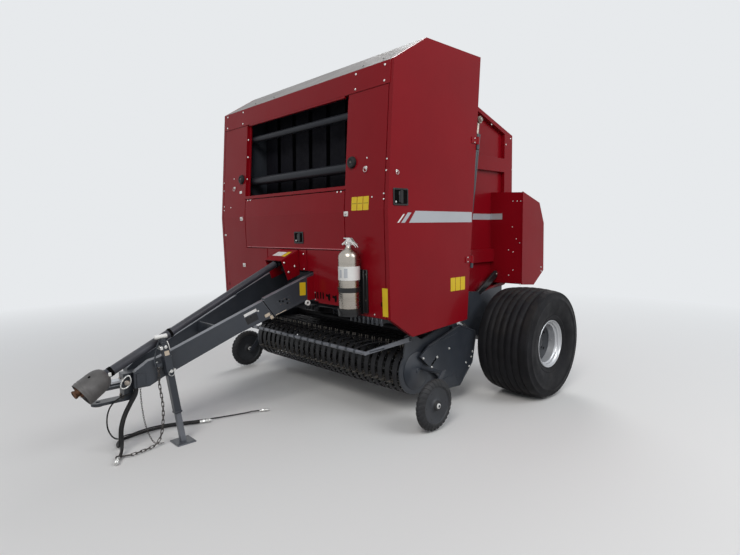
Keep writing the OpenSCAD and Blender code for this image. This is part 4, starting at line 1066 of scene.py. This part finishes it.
def vents():
    """Slots beside the tongue, two odd cut-outs, and the row of teeth under the panel's edge; the slots and
    cut-outs are near-black plates of painted shade.
    """
    s = Shape()
    # Slots and cut-outs drawn as near-black plates: painted shade in place of holes.
    for x in (0.350, 0.382, 0.416, 0.452):
        prism(s, rounded(0.017, 0.060, 0.006), on_front(x, 1.008, 0.0035 if x < 0.39 else 0.0), 0.0008)
    for x, z in ((0.519, 1.011), (0.604, 1.006)):
        prism(s, [(-0.030, 0.018), (-0.031, -0.003), (-0.006, -0.006), (0.000, -0.036), (0.020, -0.038),
                  (0.028, -0.006), (0.022, 0.026), (0.000, 0.012)], on_front(x, z), 0.0008)
    for side in (-1, 1):
        prism(s, rounded(0.012, 0.036, 0.006), on_front(side * 1.150, 1.003), 0.0006)
    s.k = 1
    for i in range(8):
        x = 0.808 + i * 0.0486
        span(s, (x - 0.010, 0.008, 0.838), (x + 0.010, 0.028, 0.893), 0.004)
    piece(s, "front_vents", "frame", [BLACK_AND_PAINTED_SHADE, SLATE])

    s = Shape()
    for side in (-1, 1):
        low, high = on_front(0, 0.955), 0.256
        q = [(side * 0.3325, 0), (side * 0.392, 0), (side * 0.392, high), (side * 0.3325, high)]
        prism(s, q if side > 0 else q[::-1], low, 0.003, 0.0008)
        gusset = on_arm(0, 0, side, 0.0006)
        a, b = (-0.050, 0.030) if side > 0 else (-0.030, 0.050)
        prism(s, [(a, 0.962), (b, 0.975), (b, 1.180), (a, 1.160)], gusset, 0.003, 0.0008)
    s.k = 1
    for z in (0.969, 1.029):
        dome(s, on_front(0.345, z, 0.003), 0.006)
    piece(s, "arm_gussets", "frame", [RED, ZINC])


vents()


def header_skin():
    """The header's outer sheet with its folded lower lip, which stands proud of the panels."""
    s = Shape()
    half, low, high, t = 1.212, 2.606, 2.772, 0.006
    lean = on_front(0, low)
    rise = (high - low) / cos(atan(UPPER_BACK / UPPER_RISE))
    plate(s, -half, 0, half, rise, lean, t, 0.002)
    plate(s, -0.715, -0.016, 0.715, 0.002, put(lean, 0, 0, -0.012), 0.017, 0.002)
    piece(s, "header_skin", "frame", RED)
    s = Shape()
    for x in (-0.68, -0.35, 0.88, 1.10):
        dome(s, at((x, 0.115, 2.806), (0, -0.55, 0.83)), 0.008)
    piece(s, "roof_bolts", "frame", BLACK)


header_skin()


# Side doors
def side_door(hand):
    s = Shape()
    m = on_left(0, 0, 1.240)
    paddle_latch(s, put(m, 0.1345, 1.7985), 0.160, 0.126)
    piece(s, "door_latch_" + hand, "door_" + hand, [RED, BLACK_AND_PAINTED_SHADE, BLACK, ZINC], hand=hand)
    s = Shape()
    bolt(s, put(m, 0.096, 1.985), 0.008)
    ring = [m @ V(0.096 + 0.015 * cos(a), 1.974 + 0.015 * sin(a), 0.009) for a in turns(20)]
    tube(s, ring, 0.0018, 6, closed=True)
    for y, z in ((1.110, 2.305), (1.019, 1.295)):
        for dz in (-0.018, 0.018):
            dome(s, put(m, y - 0.050, z + dz, 0.006), 0.006)
    piece(s, "door_hardware_" + hand, "door_" + hand, ZINC, hand=hand)
    s = Shape()
    y_end = 1.028
    prism(s, [(0.226, 1.609), (y_end, 1.6135), (y_end, 1.699), (0.300, 1.699)], m, 0.0006)
    prism(s, [(0.140, 1.609), (0.180, 1.609), (0.254, 1.685), (0.214, 1.685)], m, 0.0006)
    s.k = 1
    prism(s, [(0.098, 1.609), (0.116, 1.609), (0.181, 1.673), (0.163, 1.673)], m, 0.0006)
    s.k = 2
    for i in range(3):
        prism(s, rounded(0.062, 0.112, 0.004, 4, 0.768 + 0.068 * i, 1.097), m, 0.0006)
    piece(s, "door_stripes_" + hand, "door_" + hand, [SILVER, WHITE, YELLOW], hand=hand)


for hand in HANDS:
    side_door(hand)


# Hood
def hood_trim():
    s = Shape()
    spots = ((-0.150, 1.285), (-0.042, 1.248), (-0.105, 1.200))
    fasten(s, bolt, on_left(0, 0, 0.132), spots, 0.008)
    for y, z in spots:
        bolt(s, along((-0.132, y, z), (0, -1, 0), (0, 0, 1)), 0.008)
    for x, z in ((0.20, 1.356), (0.20, 1.224), (-0.20, 1.356), (-0.20, 1.224)):
        dome(s, on_front(x, z, 0.0035), 0.008)
    piece(s, "hood_bolts", "frame", ZINC)
    s = Shape()
    top = along((0, -0.0885, 1.3490), (1, 0, 0), (0, 0.183, 0.086))
    prism(s, rounded(0.140, 0.074, 0.004, 4, -0.042, 0.012), top, 0.0006)
    s.k = 1
    prism(s, rounded(0.056, 0.084, 0.004, 4, 0.064, 0.012), top, 0.0006)
    piece(s, "hood_labels", "frame", [WHITE, YELLOW])
    s = Shape()
    for side in (-1, 1):
        q = [(side * 0.1335, 0), (side * 0.240, 0), (side * 0.240, 0.182), (side * 0.1335, 0.182)]
        prism(s, q if side > 0 else q[::-1], on_front(0, 1.2115), 0.003, 0.0008)
    piece(s, "hood_flanges", "frame", RED)


hood_trim()


def arm_point(side, out, back, z):
    """A point of a tongue arm: out from its middle line, back along it, and its height."""
    x = 0.300 + out * cos(ARM) + back * sin(ARM)
    return V(side * x, back * cos(ARM) - out * sin(ARM), z)


def arm_tops():
    """Upper faces of the two arms, worn, and painted lighter as a highlight where they catch the sky."""
    for side, name in ((1, "arm_top_left"), (-1, "arm_top_right")):
        s = Shape()
        # Distance back and height at both ends of each straight run
        for (b0, z0), (b1, z1) in (((-0.052, 1.1664), (-0.440, 1.0124)),
                                   ((-0.4401, 1.0004), (-1.270, 0.6554)),
                                   ((-1.270, 0.6554), (-1.340, 0.6404)),
                                   ((-1.340, 0.6404), (-1.430, 0.5790))):
            p, q = arm_point(side, 0, b0, z0), arm_point(side, 0, b1, z1)
            m = along(p, q - p, (cos(ARM), -side * sin(ARM), 0))
            reach = (q - p).length
            plate(s, 0, -0.0285, reach, 0.0285, m, 0.0022, 0.0008)
        piece(s, name, "frame", SLATE_WORN_AND_HIGHLIGHT)


arm_tops()


def tongue_trim():
    s = Shape()
    for side in (1, -1):
        # A near-black line with a thin light line beside it: painted shade and a painted highlight along
        # the lap's edge.
        s.k = 1
        m = on_arm(-0.400, 0.927, side, 0.0004)
        tube(s, [m @ V(-0.052 * side, 0.072, 0.0), m @ V(0.054 * side, -0.077, 0.0)], 0.0042, 8)
        s.k = 2
        tube(s, [m @ V(-0.060 * side, 0.074, 0.0), m @ V(0.046 * side, -0.077, 0.0)], 0.0022, 8)
        s.k = 0
        m = on_arm(-0.256, 0.966, side)
        prism(s, rounded(0.140, 0.074, 0.012), m @ Matrix.Rotation(side * 0.35, 4, "Z"), 0.0025, 0.0012)
        # Near-black discs: painted shade for holes.
        s.k = 1
        for u, v in ((-0.050, 0.016), (-0.020, 0.012), (0.014, 0.026), (0.020, -0.006)):
            disc(s, 0.0085, 0.0026, 0.0032, put(m, u * side, v), 16)
        s.k = 3
        for u, v in ((-0.006, 0.034), (0.034, 0.022), (-0.008, -0.010), (0.042, -0.004), (-0.040, -0.012)):
            bolt(s, put(m, u * side, v, 0.0025), 0.006, washer=False)
    piece(s, "tongue_laps", "frame", [SLATE, BLACK_AND_PAINTED_SHADE, SLATE_WORN_AND_HIGHLIGHT, LINK])

    s = Shape()
    m = on_arm(-0.091, 1.067)
    prism(s, rounded(0.056, 0.110, 0.004), m, 0.0006)
    s.k = 1
    tilt = on_arm(-0.558, 0.910) @ Matrix.Rotation(radians(21.5), 4, "Z")
    prism(s, rounded(0.112, 0.023, 0.003), tilt, 0.0008)
    s.k = 2
    tilt = on_arm(-0.545, 0.861) @ Matrix.Rotation(radians(20), 4, "Z")
    prism(s, rounded(0.104, 0.058, 0.003), tilt, 0.0006)
    s.k = 3
    for y, z, w, h in ((-0.413, 0.877, 0.048, 0.026), (-0.376, 0.857, 0.028, 0.030)):
        prism(s, rounded(w, h, 0.003), on_arm(y, z) @ Matrix.Rotation(radians(22), 4, "Z"), 0.0008)
    a, b = on_arm(-0.341, 0.869), on_arm(-0.247, 0.9025)
    tube(s, [a @ V(0, 0, 0.0006), b @ V(0, 0, 0.0006)], 0.0028, 8)
    piece(s, "tongue_labels", "frame", [YELLOW, WHITE, BLACK, CREAM])

    s = Shape()
    for side in (1, -1):
        m = on_arm(-0.052, 0.945, side, 0.003)
        lathe(s, [(0.0085, 0.010), (0.0085, 0.013), (0.014, 0.016), (0.021, 0.0155), (0.0235, 0.012),
                  (0.0235, 0.000), (0.0085, 0.000)], m, 32, loop=True)
        # Near-black disc in the ring: painted shade in the pin's bore.
        s.k = 1
        disc(s, 0.0084, 0.004, 0.010, m, 20)
        s.k = 0
        bolt(s, on_arm(-0.492, 0.919, side), 0.007, washer=False)
        for y, z in ((-1.270, 0.618), (-1.180, 0.655)):
            bolt(s, on_arm(y, z, side), 0.008)
    piece(s, "tongue_pins", "frame", [WHITE, BLACK_AND_PAINTED_SHADE])


tongue_trim()


def hitch():
    s = Shape()
    m = at((0.0, -1.640, 0.425))
    for low, high in ((0.0905, 0.0975), (-0.066, -0.0605)):
        lathe(s, [(0.017, low), (0.034, low), (0.036, low + 0.001), (0.036, high - 0.001), (0.034, high),
                  (0.017, high)], m, 32, loop=True)
    for x in (-0.030, 0.030):
        for z in (0.395, 0.455, 0.515):
            bolt(s, at((x, -1.4805, z), (0, -1, 0)), 0.009)
    pin = at((0.096, -1.478, 0.512), (1, 0, 0))
    lathe(s, [(0, 0), (0.013, 0), (0.013, 0.016), (0.018, 0.018), (0.019, 0.026), (0.014, 0.033),
              (0, 0.035)], pin, 24)
    piece(s, "hitch_wear_rings", "frame", SHAFT)

    s = Shape()
    loop = [pin @ V(0.030 * cos(a) * (1 - 0.22 * sin(a)) + 0.015 * sin(a) - 0.004, 0.043 * sin(a) + 0.004,
                    0.012 + 0.004 * cos(a)) for a in turns(40)]
    tube(s, loop, 0.0052, 10, closed=True)
    piece(s, "hitch_pin_loop", "frame", ZINC)

    s = Shape()
    # The two top plates are pale: a painted highlight of the sky on their upper faces.
    for low, high, w, y0, y1 in ((0.4853, 0.4868, 0.043, -1.640, -1.482),
                                 (0.5030, 0.5170, 0.036, -1.652, -1.482)):
        arc = [(w * cos(PI + PI * k / 12), y0 + w * sin(PI + PI * k / 12)) for k in range(13)]
        prism(s, arc + [(w, y1), (-w, y1)], at((0, 0, low)), high - low, 0.001)
    s.k = 1
    for y0, y1 in ((-1.660, -1.590), (-1.560, -1.484)):
        span(s, (-0.026, y0, 0.4860), (0.026, y1, 0.5035), 0.002)
    piece(s, "hitch_plates", "frame", [PAINTED_HIGHLIGHT, SLATE])

    s = Shape()
    for x in (0.101, 0.075):
        tube(s, [(x, -1.412, 0.4582), (x, -1.412, 0.440)], [0.0135, 0.0125], 12)
    tube(s, [(0.060, -1.396, 0.4582), (0.060, -1.396, 0.446)], [0.0085, 0.0062], 12)
    piece(s, "cord_grommets", "frame", RUBBER)

    s = Shape()
    ring = [V(0.165 + 0.010 * cos(a), -1.274, 0.602 + 0.012 * sin(a)) for a in turns(20)]
    tube(s, ring, 0.0030, 8, closed=True)
    piece(s, "chain_ring", "frame", ZINC)


hitch()

# The jack's lean, and where its line meets the ground
JACK = radians(8)
JACK_X, JACK_Y = 0.184, -1.128
JACK_AXIS = V(0, -sin(JACK), cos(JACK))


def on_jack(y, h, side=(1, 0, 0)):
    """A point along the jack, h up its own line, and a face that looks to the side."""
    p = V(JACK_X, JACK_Y, 0) + JACK_AXIS * h
    w = Vector(side).normalized()
    return along(p + w * y, JACK_AXIS.cross(w), JACK_AXIS)


def jack_trim():
    s = Shape()
    m = at((JACK_X, JACK_Y, 0), JACK_AXIS)
    lathe(s, [(0.024, 0.790), (0.027, 0.790), (0.027, 0.808), (0.024, 0.810)], m, 28, loop=True)
    block(s, (0.056, 0.056, 0.014), put(m, 0, 0, 0.245), 0.003)
    block(s, (0.054, 0.054, 0.010), put(m, 0, 0, 0.783), 0.003)
    tube(s, bend([V(0.172, -1.262, 0.790), V(0.166, -1.276, 0.752), V(0.158, -1.288, 0.690),
                  V(0.154, -1.298, 0.640), V(0.166, -1.290, 0.590)], 0.02), 0.0060, 10)
    s.k = 2
    block(s, (0.058, 0.020, 0.026), put(m, 0, -0.030, 0.748), 0.003)
    tube(s, bend([m @ V(0.026, 0.016, 0.790), m @ V(0.034, 0.020, 0.760), m @ V(0.028, 0.024, 0.722)],
                 0.02), 0.0042, 10)
    bolt(s, on_jack(0.0245, 0.748), 0.009)
    s.k = 1
    grip = at(V(0.180, -1.253, 0.8165), (0.36, 0.93, 0.10))
    lathe(s, [(0, -0.044), (0.012, -0.044), (0.0155, -0.040), (0.0165, -0.030), (0.0150, 0.0),
              (0.0165, 0.030), (0.0155, 0.040), (0.012, 0.044), (0, 0.044)], grip, 28)
    piece(s, "jack_crank", "frame", [SLATE, WHITE, ZINC])
    s = Shape()
    prism(s, rounded(0.034, 0.034, 0.003), on_jack(0.0242, 0.702), 0.0005)
    piece(s, "jack_label", "frame", CREAM)
    s = Shape()
    tube(s, [(JACK_X - 0.052, -1.178, 0.567), (JACK_X + 0.034, -1.178, 0.567)], 0.009, 14)
    pin = at((JACK_X + 0.030, -1.203, 0.560), (1, 0, 0))
    lathe(s, [(0, 0), (0.012, 0), (0.012, 0.006), (0, 0.008)], pin, 20)
    tube(s, ring_on(pin, 0.020, 24, -0.014, 0.007), 0.0018, 6, closed=True)
    piece(s, "jack_pin", "frame", ZINC)
    s = Shape()
    for x in (-0.052, 0.052):
        for y in (-0.052, 0.052):
            dome(s, at((JACK_X + x, JACK_Y + y, 0.010)), 0.006)
    half = 0.068
    span(s, (JACK_X - half, JACK_Y - half, 0.0105), (JACK_X + half, JACK_Y + half, 0.0125), 0.0008)
    piece(s, "jack_foot_plate", "jack", SLATE)


jack_trim()


# Driveline
FALL, TURN = asin(788 / 1900), radians(5)
DRIVE = V(sin(TURN) * cos(FALL), -cos(TURN) * cos(FALL), -sin(FALL))
INPUT = V(0, -0.100, 1.297)


def on_drive(t, spin=0.0):
    return at(INPUT + DRIVE * t, DRIVE, spin)


def driveline():
    s = Shape()
    m = on_drive(0.0)
    r = 0.017
    lathe(s, [(0, -0.050), (r, -0.050), (r, 0.110), (r, 1.740), (0.0262, 1.744), (0.0300, 1.752),
              (0.0300, 1.800), (0.0175, 1.800), (0, 1.780)], m, 28)
    s.k = 1
    for turn in (0, PI):
        mm = on_drive(0.0, 0.6 + turn)
        outline = [(-0.022, 1.796), (0.022, 1.796), (0.026, 1.830), (0.024, 1.858), (0.010, 1.870),
                   (-0.010, 1.870), (-0.024, 1.858), (-0.026, 1.830)]
        side = Matrix(((1, 0, 0, 0), (0, 0, -1, -0.026), (0, 1, 0, 0), (0, 0, 0, 1)))
        prism(s, outline, mm @ side, 0.011, 0.002)
    lathe(s, [(0.0176, 1.820), (0.0245, 1.820), (0.0262, 1.824), (0.0262, 1.850), (0.0245, 1.854),
              (0.0245, 1.884), (0.0285, 1.886), (0.0285, 1.898), (0.0245, 1.900), (0.0176, 1.900)], m, 32,
          loop=True)
    for a in turns(6):
        tube(s, [m @ V(0.0178 * cos(a), 0.0178 * sin(a), z) for z in (1.822, 1.898)], 0.0018, 6)
    s.k = 2
    lathe(s, [(0, -0.010), (0.006, -0.010), (0.006, 0.014), (0, 0.016)],
          put(on_drive(1.868) @ Matrix.Rotation(PI / 2, 4, "X"), 0, 0, 0.026), 14)
    piece(s, "driveline_yoke", "driveline", [SHAFT, RUST, ZINC],
          stands_for=("driveline_shaft",), smooth=40)

    droop = radians(8)
    start = 1.665
    neck = INPUT + DRIVE * start
    side = DRIVE.cross(V(0, 0, 1)).normalized()
    hang = (DRIVE * cos(droop) + side.cross(DRIVE) * -sin(droop)).normalized()
    # Distance along the guard and its radius: outside to the mouth, then back inside
    wall = [(0.012, 0.034), (0.080, 0.029), (1.130, 0.029), (1.140, 0.0325), (1.660, 0.0325),
            (1.668, 0.040), (1.674, 0.050), (1.682, 0.060), (1.694, 0.069), (1.710, 0.0765),
            (1.730, 0.0815), (1.760, 0.0845), (1.815, 0.0865), (1.818, 0.0885), (1.824, 0.0885),
            (1.827, 0.0868), (1.836, 0.0870), (1.839, 0.0890), (1.846, 0.0890), (1.849, 0.0870),
            (1.862, 0.0870), (1.862, 0.0820), (1.820, 0.0810), (1.740, 0.0780), (1.700, 0.0660),
            (1.676, 0.0400), (1.660, 0.0240), (0.012, 0.0230)]
    s = Shape()
    pts, faces, n = [], [], 56
    for t, r in wall:
        c, d = (INPUT + DRIVE * t, DRIVE) if t <= start else (neck + hang * (t - start), hang)
        ring = at(c, d)
        pts += ring_on(ring, r, n)
    bell = []
    for k in range(len(wall)):
        for i in range(n):
            j, q = (i + 1) % n, (k + 1) % len(wall)
            (bell if 5 <= k <= 22 else faces).append((k * n + i, k * n + j, q * n + j, q * n + i))
    s.add(pts, faces)
    s.k = 3
    s.add(pts, bell)
    # Near-black rings round the guard, and a near-black disc whose colour is painted shade for the guard's
    # hole.
    s.k = 1
    for a, b in ((1.626, 1.652), (1.150, 1.172)):
        lathe(s, [(0.0322, a), (0.0348, a + 0.002), (0.0348, b - 0.002), (0.0322, b)], m, 40, loop=True)
    for t in (0.020, 0.060):
        lathe(s, [(0.0322, t), (0.0360, t + 0.002), (0.0360, t + 0.012), (0.0322, t + 0.014)], m, 36,
              loop=True)
    # The guard's hole and its latch face the viewpoint
    out = (V(3.83, -2.65, 1.56) - neck).normalized()
    out = (out - hang * out.dot(hang)).normalized()
    up = hang.cross(out)
    lean = out * cos(0.75) + up * sin(0.75)
    disc(s, 0.0085, 0.0, 0.0012, at(neck + hang * 0.098 + lean * 0.0842, lean), 20)
    s.k = 2
    low = out * cos(0.35) - up * sin(0.35)
    block(s, (0.020, 0.026, 0.010), at(neck - DRIVE * 0.004 + low * 0.044, low), 0.003)
    piece(s, "guard_skin", "frame", [PLASTIC, BLACK_AND_PAINTED_SHADE, WHITE, BELL],
          stands_for=("driveline_guard",))


driveline()


# Tailgate
# The wing's fold on the tailgate's side, and how far it turns outward
WING_X, WING_Y, WING_TURN = 0.838, 1.930, radians(8.7)


def tail_trim(hand):
    s = Shape()
    m = on_left(0, 0, 0.880)
    fasten(s, dome, m, ((1.868, 2.596), (2.227, 2.495), (2.141, 2.427), (2.265, 2.174), (1.300, 2.700),
                        (1.300, 2.100), (1.300, 1.500), (1.300, 0.950), (2.180, 1.060), (2.200, 1.900)),
           0.008)
    mw = on_left(0, 0, 1.180)
    fasten(s, dome, mw, ((2.365, 1.145), (2.367, 1.103)), 0.007)
    for x, z in ((1.074, 1.828), (1.119, 1.826), (1.152, 1.824), (1.072, 1.569), (1.114, 1.449),
                 (1.148, 1.409), (1.082, 1.317), (1.036, 1.337), (1.085, 1.135), (1.040, 1.077),
                 (1.162, 0.988)):
        d = (x - WING_X) / cos(WING_TURN)
        p = V(WING_X, WING_Y, z) + V(cos(WING_TURN), sin(WING_TURN), 0) * d
        dome(s, at(p, (sin(WING_TURN), -cos(WING_TURN), 0)), 0.006)
    piece(s, "tail_bolts_" + hand, "tailgate", ZINC, hand=hand)

    s = Shape()
    plate(s, 1.541, 1.647, 2.080, 1.706, on_left(0, 0, 0.840), 0.0006)
    wing = along((WING_X, WING_Y, 1.677), (cos(WING_TURN), sin(WING_TURN), 0), (0, 0, 1))
    plate(s, 0.004, -0.030, 0.128, 0.030, put(wing, 0, 0, 0.0006), 0.0006)
    piece(s, "tail_stripe_" + hand, "tailgate", SILVER, hand=hand)

    s = Shape()
    for z0, z1 in ((1.200, 1.380), (1.420, 1.560)):
        zc, h = (z0 + z1) / 2, z1 - z0
        y = 2.405 + (1.600 - zc) / 48 + 0.028
        lean = atan(1 / 48)
        mm = along((1.100, y, zc), (-1, 0, 0), (0, -sin(lean), cos(lean)))
        s.k = 0
        prism(s, rounded(0.112, h - 0.008, 0.010), put(mm, 0, 0, -0.0085), 0.0072, 0.003)
        s.k = 1
        for v in (-1, 1):
            dome(s, put(mm, 0, v * (h / 2 - 0.012), -0.0035), 0.0035)
    piece(s, "lamp_lenses_" + hand, "tailgate", [LAMP, ZINC], hand=hand)

    s = Shape()
    for t in turns(6):
        bolt(s, on_left(1.540 + 0.046 * cos(t), 2.585 + 0.046 * sin(t), 0.892), 0.006, washer=False)
    for y, z in ((1.275, 2.760), (1.330, 2.735), (1.222, 2.900)):
        bolt(s, on_left(y, z, 0.902), 0.010)
    piece(s, "gate_bolts_" + hand, "tailgate", ZINC, hand=hand)


for hand in HANDS:
    tail_trim(hand)


def tail_strut(hand):
    """The round-ended stay low on each side of the tailgate."""
    s = Shape()
    a, b, r = V(0, 1.478, 0.8255), V(0, 1.926, 1.0870), 0.035
    run = b - a
    turn = atan2(run.z, run.y)
    outline = [(r * cos(turn + PI / 2 + PI * k / 10), r * sin(turn + PI / 2 + PI * k / 10))
               for k in range(11)]
    outline = [(a.y + y, a.z + z) for y, z in outline] + [(b.y - y, b.z - z) for y, z in outline]
    prism(s, outline, on_left(0, 0, 0.893), 0.028, 0.008)
    s.k = 1
    for p in (a, b):
        lathe(s, [(0, 0), (0.013, 0), (0.013, 0.004), (0.009, 0.008), (0, 0.009)],
              at((0.921, p.y, p.z), (1, 0, 0)), 20)
    piece(s, "tail_strut_" + hand, "tailgate", [BLACK, SHAFT], hand=hand)


for hand in HANDS:
    tail_strut(hand)


def rear_ribs():
    """Folded edges, pressed ribs and rivets on the tailgate's rear and its sloping top."""
    s = Shape()
    foot, crest, front = V(0, 2.275, 1.100), V(0, 2.262, 2.529), V(0, 1.654, 2.728)
    for a, b, ribs in ((foot, crest, (0.16, 0.46, 0.76)), (crest, front, (0.32,))):
        m = along(a, (-1, 0, 0), b - a)
        reach = (b - a).length
        s.k = 0
        for side in (-1, 1):
            u = side * 0.851
            plate(s, u - 0.025, 0.006, u + 0.025, reach - 0.006, m, 0.003, 0.001)
        for part in ribs:
            prism(s, rounded(1.600, 0.078, 0.012), put(m, 0, reach * part), 0.009, 0.006)
        s.k = 1
        count = int(reach / 0.19)
        for i in range(count + 1):
            for side in (-1, 1):
                dome(s, put(m, side * 0.851, 0.04 + (reach - 0.08) * i / count, 0.003), 0.006)
    sign = put(along(foot, (-1, 0, 0), crest - foot), -0.60, 0.35)
    s.k = 2
    prism(s, rounded(0.120, 0.080, 0.006), sign, 0.0012, 0.0004)
    piece(s, "tail_rear_ribs", "tailgate", [RED, ZINC, SILVER])


rear_ribs()


def axle_gusset(hand):
    """The plate that stands over the axle, between the body and the wheel."""
    s = Shape()
    prism(s, [(1.380, 0.600), (1.930, 0.600), (1.930, 0.972), (1.740, 0.960), (1.600, 0.938),
              (1.520, 0.898), (1.380, 0.800)], on_left(0, 0, 0.975), 0.006, 0.001)
    piece(s, "axle_gusset_" + hand, "frame", SLATE, hand=hand)


for hand in HANDS:
    axle_gusset(hand)


def cylinder_trim(hand):
    foot, eye = V(0.945, 1.290, 0.930), V(0.945, 1.540, 2.585)
    d = (eye - foot).normalized()
    total = (eye - foot).length
    m = at(foot, d)
    end = total - 0.140
    s = Shape()
    lathe(s, [(0.0305, 0.050), (0.0345, 0.052), (0.0345, 0.080), (0.0305, 0.084)], m, 36, loop=True)
    lathe(s, [(0.0305, end - 0.062), (0.0350, end - 0.060), (0.0350, end - 0.004), (0.0335, end - 0.001),
              (0.0305, end - 0.001)], m, 36, loop=True)
    s.k = 1
    for t in (0.100, end - 0.110):
        mm = put(m, 0, 0, t) @ Matrix.Rotation(-PI / 2, 4, "Y")
        disc(s, 0.015, 0.024, 0.040, mm, 16)
        disc(s, 0.012, 0.040, 0.052, mm, 6)
    piece(s, "cylinder_gland_" + hand, "barrel_" + hand, [SLATE, ZINC], hand=hand)
    s = Shape()
    for side in (-1, 1):
        mm = at(eye + V(side * 0.0255, 0, 0), (side, 0, 0))
        lathe(s, [(0.0205, 0), (0.030, 0), (0.030, 0.004), (0.0205, 0.004)], mm, 28, loop=True)
    mm = at(eye + V(0.030, 0, 0), (1, 0, 0))
    lathe(s, [(0, 0.0125), (0.017, 0.0125), (0.013, 0.0145), (0, 0.0145)], mm, 24)
    tube(s, [eye + V(0.037, 0.024, 0), eye + V(0.037, -0.024, 0)], 0.0022, 7)
    piece(s, "eye_pin_" + hand, "rod_" + hand, SHAFT, hand=hand)


for hand in HANDS:
    cylinder_trim(hand)

# Floor, light and backdrop
BACKDROP = (0.80, 0.82, 0.84, 1)


def looked_at(tree):
    """1 for the rays that show the backdrop: seen directly, mirrored, or through something clear."""
    path = node_of(tree, "LightPath")
    total = path.outputs["Is Camera Ray"]
    for name in ("Is Glossy Ray", "Is Transmission Ray"):
        total = maths(tree, "MAXIMUM", total, path.outputs[name])
    return total


def mixed(tree, fac, one, two):
    return node_of(tree, "MixShader", sources={0: fac, 1: one.outputs[0], 2: two.outputs[0]}).outputs[0]


def surroundings():
    half = 60.0
    mesh = bpy.data.meshes.new("floor")
    mesh.from_pydata([(-half, -half, 0), (half, -half, 0), (half, half, 0), (-half, half, 0)], [],
                     [(0, 1, 2, 3)])
    floor = bpy.data.objects.new("floor", mesh)
    bpy.context.scene.collection.objects.link(floor)
    floor.location.z = -0.0005
    mat = finish_of("floor_pale", (0.30, 0.285, 0.265), 0.85, vary=0.015, scale=0.8, edge=0, spec=0.1)
    tree = mat.node_tree
    body = next(node for node in tree.nodes if node.type == "BSDF_PRINCIPLED")
    dark = body.inputs["Base Color"].links[0].from_socket
    shown = looked_at(tree)
    tree.links.new(blend(tree, shown, dark, (0.84, 0.83, 0.81)), body.inputs["Base Color"])
    # Far from the machine the floor runs into the backdrop's colour
    length = node_of(tree, "VectorMath", sources={0: node_of(tree, "NewGeometry").outputs["Position"]})
    length.operation = "LENGTH"
    fade = maths(tree, "MULTIPLY", ramp(tree, length.outputs["Value"], 2.6, 9.0, 0.0, 1.0), shown)
    glow = node_of(tree, "Emission", {"Color": BACKDROP})
    end = next(node for node in tree.nodes if node.type == "OUTPUT_MATERIAL")
    tree.links.new(mixed(tree, fade, body, glow), end.inputs["Surface"])
    mesh.materials.append(mat)

    world = bpy.data.worlds.new("sky")
    bpy.context.scene.world = world
    world.use_nodes = True
    tree = world.node_tree
    tree.nodes.clear()
    co = node_of(tree, "TexCoord").outputs["Generated"]
    height = node_of(tree, "SeparateXYZ", sources={0: co}).outputs["Z"]
    cloud = node_of(tree, "TexNoise", {"Scale": 2.2, "Detail": 3.0}, {"Vector": co})
    puffs = ramp(tree, cloud.outputs["Fac"], 0.40, 0.66, 0.0, 1.0)
    sky = blend(tree, puffs, (0.34, 0.42, 0.55), (0.80, 0.81, 0.83))
    sky = blend(tree, ramp(tree, height, -0.02, 0.9, 0.0, 1.0), (0.62, 0.63, 0.64), sky)
    both = blend(tree, ramp(tree, height, -0.06, 0.0, 0.0, 1.0), (0.34, 0.30, 0.26), sky)
    lit = node_of(tree, "Background", {1: 0.50}, {0: both})
    seen = node_of(tree, "Background", {0: BACKDROP, 1: 1.0})
    node_of(tree, "OutputWorld", sources={0: mixed(tree, looked_at(tree), lit, seen)})

    lamps = (("key", (5.5, -7.5, 8.5), (0, 0, 1.4), 5.0, 520, (1.0, 0.98, 0.95)),
             ("side", (9.0, 2.0, 6.5), (0, 0.5, 1.2), 6.0, 330, (0.96, 0.98, 1.0)),
             ("back", (-5.0, 8.5, 8.0), (0, 0.5, 1.4), 6.0, 420, (0.98, 0.99, 1.0)))
    for name, place, aim, size, power, tint in lamps:
        data = bpy.data.lights.new(name, "AREA")
        data.shape = "DISK"
        data.size = size
        data.energy = power
        data.color = tint
        lamp = bpy.data.objects.new(name, data)
        bpy.context.scene.collection.objects.link(lamp)
        lamp.location = place
        lamp.rotation_euler = (Vector(aim) - Vector(place)).to_track_quat("-Z", "Y").to_euler()


surroundings()
bpy.context.scene.view_settings.view_transform = "Standard"
